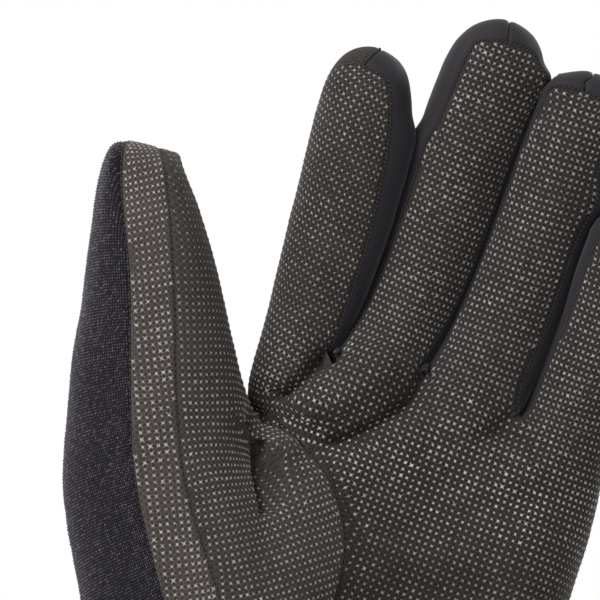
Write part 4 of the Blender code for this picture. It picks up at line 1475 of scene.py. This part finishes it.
class Nodes:
    """Short calls for building a material's nodes."""

    def __init__(self, name, roughness):
        self.material = bpy.data.materials.new(name)
        self.material.use_nodes = True
        self.tree = self.material.node_tree
        self.shader = self.tree.nodes["Principled BSDF"]
        self.feed(self.shader, {"Roughness": roughness})

    def feed(self, node, inputs):
        """Links each input that comes from another node, and sets each other one on its own socket."""
        for key, value in inputs.items():
            if isinstance(value, bpy.types.NodeSocket):
                self.tree.links.new(value, node.inputs[key])
            else:
                node.inputs[key].default_value = value

    def add(self, kind, inputs, **settings):
        node = self.tree.nodes.new(kind)
        for key, value in settings.items():
            setattr(node, key, value)
        self.feed(node, inputs)
        return node

    def object_place(self):
        return self.add("ShaderNodeTexCoord", {}).outputs["Object"]

    def cloth_place(self):
        return self.add("ShaderNodeTexCoord", {}).outputs["UV"]

    def split(self, place):
        return self.add("ShaderNodeSeparateXYZ", {"Vector": place}).outputs

    def noise(self, size, detail=3.0):
        inputs = {"Vector": self.object_place(), "Scale": 1.0 / (size * MM), "Detail": detail}
        return self.add("ShaderNodeTexNoise", inputs).outputs["Fac"]

    def math(self, operation, a, b=0.0):
        return self.add("ShaderNodeMath", {0: a, 1: b}, operation=operation).outputs["Value"]

    def times(self, a, b):
        return self.math("MULTIPLY", a, b)

    def ramp(self, value, low, high, to_low=0.0, to_high=1.0):
        inputs = {"Value": value, "From Min": low, "From Max": high, "To Min": to_low, "To Max": to_high}
        return self.add("ShaderNodeMapRange", inputs).outputs["Result"]

    def mix(self, share, a, b):
        inputs = {MIX_FACTOR: share, MIX_FIRST: a, MIX_SECOND: b}
        return self.add("ShaderNodeMix", inputs, data_type="RGBA").outputs[MIX_RESULT]

    def bump(self, height, distance, strength, normal=None):
        inputs = {"Height": height, "Distance": distance * MM, "Strength": strength}
        if normal:
            inputs["Normal"] = normal
        return self.add("ShaderNodeBump", inputs).outputs["Normal"]

    def finish(self, colour, normal, sheen, sheen_roughness, tint):
        inputs = {"Base Color": colour, "Normal": normal, "Sheen Weight": sheen, "Sheen Tint": tint}
        inputs.update({"Sheen Roughness": sheen_roughness, "Specular IOR Level": CLOTH_SPECULAR})
        self.feed(self.shader, inputs)
        return self.material


def grid_wave(nodes, across, along, turn):
    """A soft waffle in step with the grip dots: 1 at a dot and between four, 0 between two."""
    inputs = {"Vector": nodes.cloth_place(), "Rotation": (0.0, 0.0, -math.radians(turn))}
    turned = nodes.add("ShaderNodeMapping", inputs, vector_type="POINT").outputs["Vector"]
    scale = (1 / (across * MM), 1 / (along * MM), 1.0)
    scaled = nodes.add("ShaderNodeVectorMath", {0: turned, 1: scale}, operation="MULTIPLY")
    parts = nodes.split(scaled.outputs["Vector"])
    waves = [nodes.math("COSINE", nodes.times(parts[axis], 2 * math.pi)) for axis in ("X", "Y")]
    return nodes.ramp(nodes.times(*waves), -1.0, 1.0)


def grip_cloth(name, panel_name, light, dark, far=1.0, low=1.0):
    """Matte synthetic suede, embossed with its dots; painted shade between dots, off the thumb and low down.
    """
    nodes = Nodes(name, 0.82)
    grid = dict(zip(DOT_FIELDS, DOT_GRIDS[panel_name]))
    wave = grid_wave(nodes, grid["across"], grid["along"], grid["turn"])
    fibre = nodes.noise(0.35, 4.0)
    shade = nodes.mix(nodes.ramp(fibre, 0.36, 0.64), dark, light)
    worn = nodes.mix(nodes.ramp(nodes.noise(9), 0.35, 0.7, 0.0, 0.45), shade, light)
    parts = nodes.split(nodes.object_place())
    # Painted shade: the palm's cloth darkens away from the thumb and towards the wrist
    across = nodes.ramp(parts["X"], *CLOTH_SHADE_ACROSS, 1.0, far)
    height = nodes.ramp(parts["Z"], *CLOTH_SHADE_LOW, low, 1.0)
    # Painted shade: the cloth is darkest in the emboss between two dots, and where the ramps above darken it
    tone = nodes.times(nodes.ramp(wave, 0.0, 0.40), nodes.times(across, height))
    normal = nodes.bump(wave, 0.16, 0.7, nodes.bump(fibre, 0.10, 0.8))
    return nodes.finish(nodes.mix(tone, dark, worn), normal, 0.05, 0.45, SUEDE_SHEEN)


def dot_rubber(name, pale, arm, low=1.0, high=1.0):
    """The pale grip print: brightest at a dot's middle, unevenly worn, and painted shade low and high up."""
    nodes = Nodes(name, 0.55)
    # Painted shade: the print darkens towards its shadow colour low down and high up
    height = nodes.split(nodes.object_place())["Z"]
    below = nodes.ramp(height, *PRINT_SHADE_LOW, low, 1.0)
    above = nodes.ramp(height, *PRINT_SHADE_HIGH, 1.0, high)
    parts = nodes.split(nodes.cloth_place())
    middle = nodes.ramp(parts["X"], 0.1, 0.9)
    wear = nodes.ramp(nodes.noise(8, 2.0), 0.35, 0.62, 0.40, 1.0)
    worn = nodes.times(nodes.ramp(parts["Y"], 0.0, 1.0, 0.3, 1.0), wear)
    print_colour = nodes.mix(nodes.times(middle, worn), arm, pale)
    colour = nodes.mix(nodes.times(below, above), DOT_SHADOW, print_colour)
    return nodes.finish(colour, nodes.bump(nodes.noise(0.2), 0.05, 0.5), 0.0, 0.5, WHITE)


def yarn(name, light, dark):
    """Fuzzy knitting yarn with painted shade: darker towards a loop's rim, where it sinks in."""
    nodes = Nodes(name, 0.9)
    parts = nodes.split(nodes.cloth_place())
    fibre = nodes.noise(0.18, 4.0)
    # Painted shade: each loop is darker towards its rim, by the shade of its corners
    tone = nodes.times(nodes.ramp(parts["X"], 0.0, 1.0, 0.15, 1.0), nodes.ramp(fibre, 0.3, 0.75))
    tone = nodes.times(tone, nodes.ramp(parts["Y"], 0.0, 1.0, 0.15, 1.0))
    return nodes.finish(nodes.mix(tone, dark, light), nodes.bump(fibre, 0.12, 1.0), 0.08, 0.5, KNIT_SHEEN)


def knit_ground(name, light, dark):
    """The cloth under the knit loops, dark as the yarn and painted darker still as the shade in the gaps."""
    nodes = Nodes(name, 0.95)
    fibre = nodes.noise(0.3, 4.0)
    colour = nodes.mix(nodes.ramp(fibre, 0.35, 0.7), dark, light)
    return nodes.finish(colour, nodes.bump(fibre, 0.2, 1.0), 0.03, 0.5, KNIT_SHEEN)


def stretch_cloth(name, light, dark, weave, sheen):
    """Smooth tight stretch cloth with a very fine diagonal weave, whose width is given in mm."""
    nodes = Nodes(name, 0.62)
    parts = nodes.split(nodes.cloth_place())
    ways = []
    for sign in (1.0, -1.0):
        slant = nodes.math("ADD", parts["X"], nodes.times(parts["Y"], sign))
        ways.append(nodes.math("SINE", nodes.times(slant, 2 * math.pi / (weave * MM))))
    cross = nodes.ramp(nodes.times(*ways), -1.0, 1.0)
    fibre = nodes.noise(0.25)
    tone = nodes.times(nodes.ramp(cross, 0.0, 1.0, 0.6, 1.0), nodes.ramp(fibre, 0.3, 0.7, 0.4, 1.0))
    tone = nodes.times(tone, nodes.ramp(nodes.noise(12, 2.0), 0.3, 0.7, 0.75, 1.0))
    normal = nodes.bump(cross, 0.05, 0.6, nodes.bump(fibre, 0.05, 0.5))
    return nodes.finish(nodes.mix(tone, dark, light), normal, sheen, 0.4, STRETCH_SHEEN)


def thread(name, light, dark):
    """Sewing thread."""
    nodes = Nodes(name, 0.6)
    fibre = nodes.noise(0.12)
    colour = nodes.mix(nodes.ramp(fibre, 0.35, 0.65), dark, light)
    return nodes.finish(colour, nodes.bump(fibre, 0.05, 0.8), 0.1, 0.5, WHITE)


def make_floor():
    paint = Nodes("floor_paint", 0.9)
    paint.feed(paint.shader, {"Base Color": FLOOR_COLOUR})
    mesh = bpy.data.meshes.new("floor")
    half = FLOOR_SIZE / 2
    corners = [(-half, -half, 0), (half, -half, 0), (half, half, 0), (-half, half, 0)]
    mesh.from_pydata(corners, [], [(0, 1, 2, 3)])
    mesh.materials.append(paint.material)
    floor = add_object("floor", mesh)
    floor.location.z = cad_box[0].z - FLOOR_DROP


def facing(place, target):
    """The turn that points a lamp or camera from its place at a target."""
    return (Vector(target) - Vector(place)).to_track_quat("-Z", "Y")


def make_lights():
    world = bpy.data.worlds.new("studio")
    world.use_nodes = True
    world.node_tree.nodes["Background"].inputs["Color"].default_value = WHITE
    world.node_tree.nodes["Background"].inputs["Strength"].default_value = WORLD_STRENGTH
    bpy.context.scene.world = world
    for name, place, target, size, power, colour in LIGHTS:
        data = bpy.data.lights.new(name, "AREA")
        data.shape = "DISK"
        data.size = size
        data.energy = power
        data.color = colour
        light = add_object(name, data)
        light.location = place
        light.rotation_mode = "QUATERNION"
        light.rotation_quaternion = facing(place, target)


def make_camera():
    data = bpy.data.cameras.new("camera")
    data.sensor_width = SENSOR_WIDTH
    data.lens = SENSOR_WIDTH * CAMERA_DISTANCE / VIEW_WIDTH
    data.clip_end = VIEW_END
    camera = add_object("camera", data)
    target = Vector(VIEW_MIDDLE)
    camera.location = target + Vector((0, -CAMERA_DISTANCE, 0))
    camera.rotation_mode = "QUATERNION"
    roll = Quaternion((0, 0, 1), math.radians(VIEW_ROLL))
    camera.rotation_quaternion = facing(camera.location, target) @ roll
    bpy.context.scene.camera = camera


def panel_materials():
    """The cloth of each panel, by name."""
    side_cloth = stretch_cloth("side_softshell", SIDE_LIGHT, SIDE_DARK, 0.55, 0.08)
    materials = dict.fromkeys(BETWEEN_FINGERS, side_cloth)
    # The palm's cloth takes painted shade away from the thumb and low down
    materials["palm_panel"] = grip_cloth("palm_suede", "palm_panel", PALM_LIGHT, PALM_DARK, 0.66, 0.62)
    materials["thumb_strip"] = grip_cloth("strip_suede", "thumb_strip", STRIP_LIGHT, STRIP_DARK)
    materials["thumb_palm_panel"] = grip_cloth("thumb_suede", "thumb_palm_panel", THUMB_LIGHT, THUMB_DARK)
    materials["web_patch"] = grip_cloth("web_suede", "web_patch", PALM_LIGHT, PALM_DARK)
    # The knit's ground runs from the yarn's dark colour down to painted shade
    materials["thumb_knit_panel"] = knit_ground("knit_ground", KNIT_DARK, KNIT_SHADOW)
    materials["back_panel"] = stretch_cloth("back_stretch", BACK_LIGHT, BACK_DARK, 0.9, 0.12)
    return materials


def main():
    cage = make_cage()
    places = {panel: unroll(cage, panel) for panel in PANELS}
    skin = Skin(cage, places, SKIN_LEVEL)
    inner = Skin(cage, places, LINING_LEVEL)
    add_relief(skin, True)
    add_relief(inner, False)
    materials = panel_materials()
    dots = {
        # The last two numbers are painted shade on the print, low down and high up
        "palm_panel": dot_rubber("palm_print", DOT_PALE, DOT_ARM, 0.52, 0.62),
        "thumb_strip": dot_rubber("strip_print", STRIP_PALE, STRIP_ARM),
        "thumb_palm_panel": dot_rubber("thumb_print", THUMB_PALE, STRIP_ARM, 1.0, 0.68),
        "web_patch": dot_rubber("web_print", THUMB_PALE, DOT_ARM),
    }
    panels = {name: Panel(skin, name) for name in PANELS}
    for name, panel in panels.items():
        make_skin_piece(panel, lining_of(inner, name), materials[name])
        if name in DOT_GRIDS:
            make_dots(panel, dots[name])
    make_loops(panels["thumb_knit_panel"], yarn("knit_yarn", KNIT_LIGHT, KNIT_DARK))
    black_thread = thread("black_thread", THREAD_LIGHT, THREAD_DARK)
    for name, (panel, neighbour, look) in STITCH_ROWS.items():
        make_stitches(name, panels[panel], skin, neighbour, look, black_thread)
    raw_edge = thread("raw_edge", EDGE_LIGHT, STRIP_DARK)
    for name, (route, look) in THREAD_ROUTES.items():
        make_loose_thread(name, skin, route, look, raw_edge if name == "flap_edge" else black_thread)
    make_cuff(stretch_cloth("cuff_stretch", BACK_LIGHT, BACK_DARK, 0.9, 0.12))
    make_hem_stitches(black_thread)
    make_floor()
    make_lights()
    make_camera()
    bpy.context.scene.view_settings.view_transform = "Standard"


main()
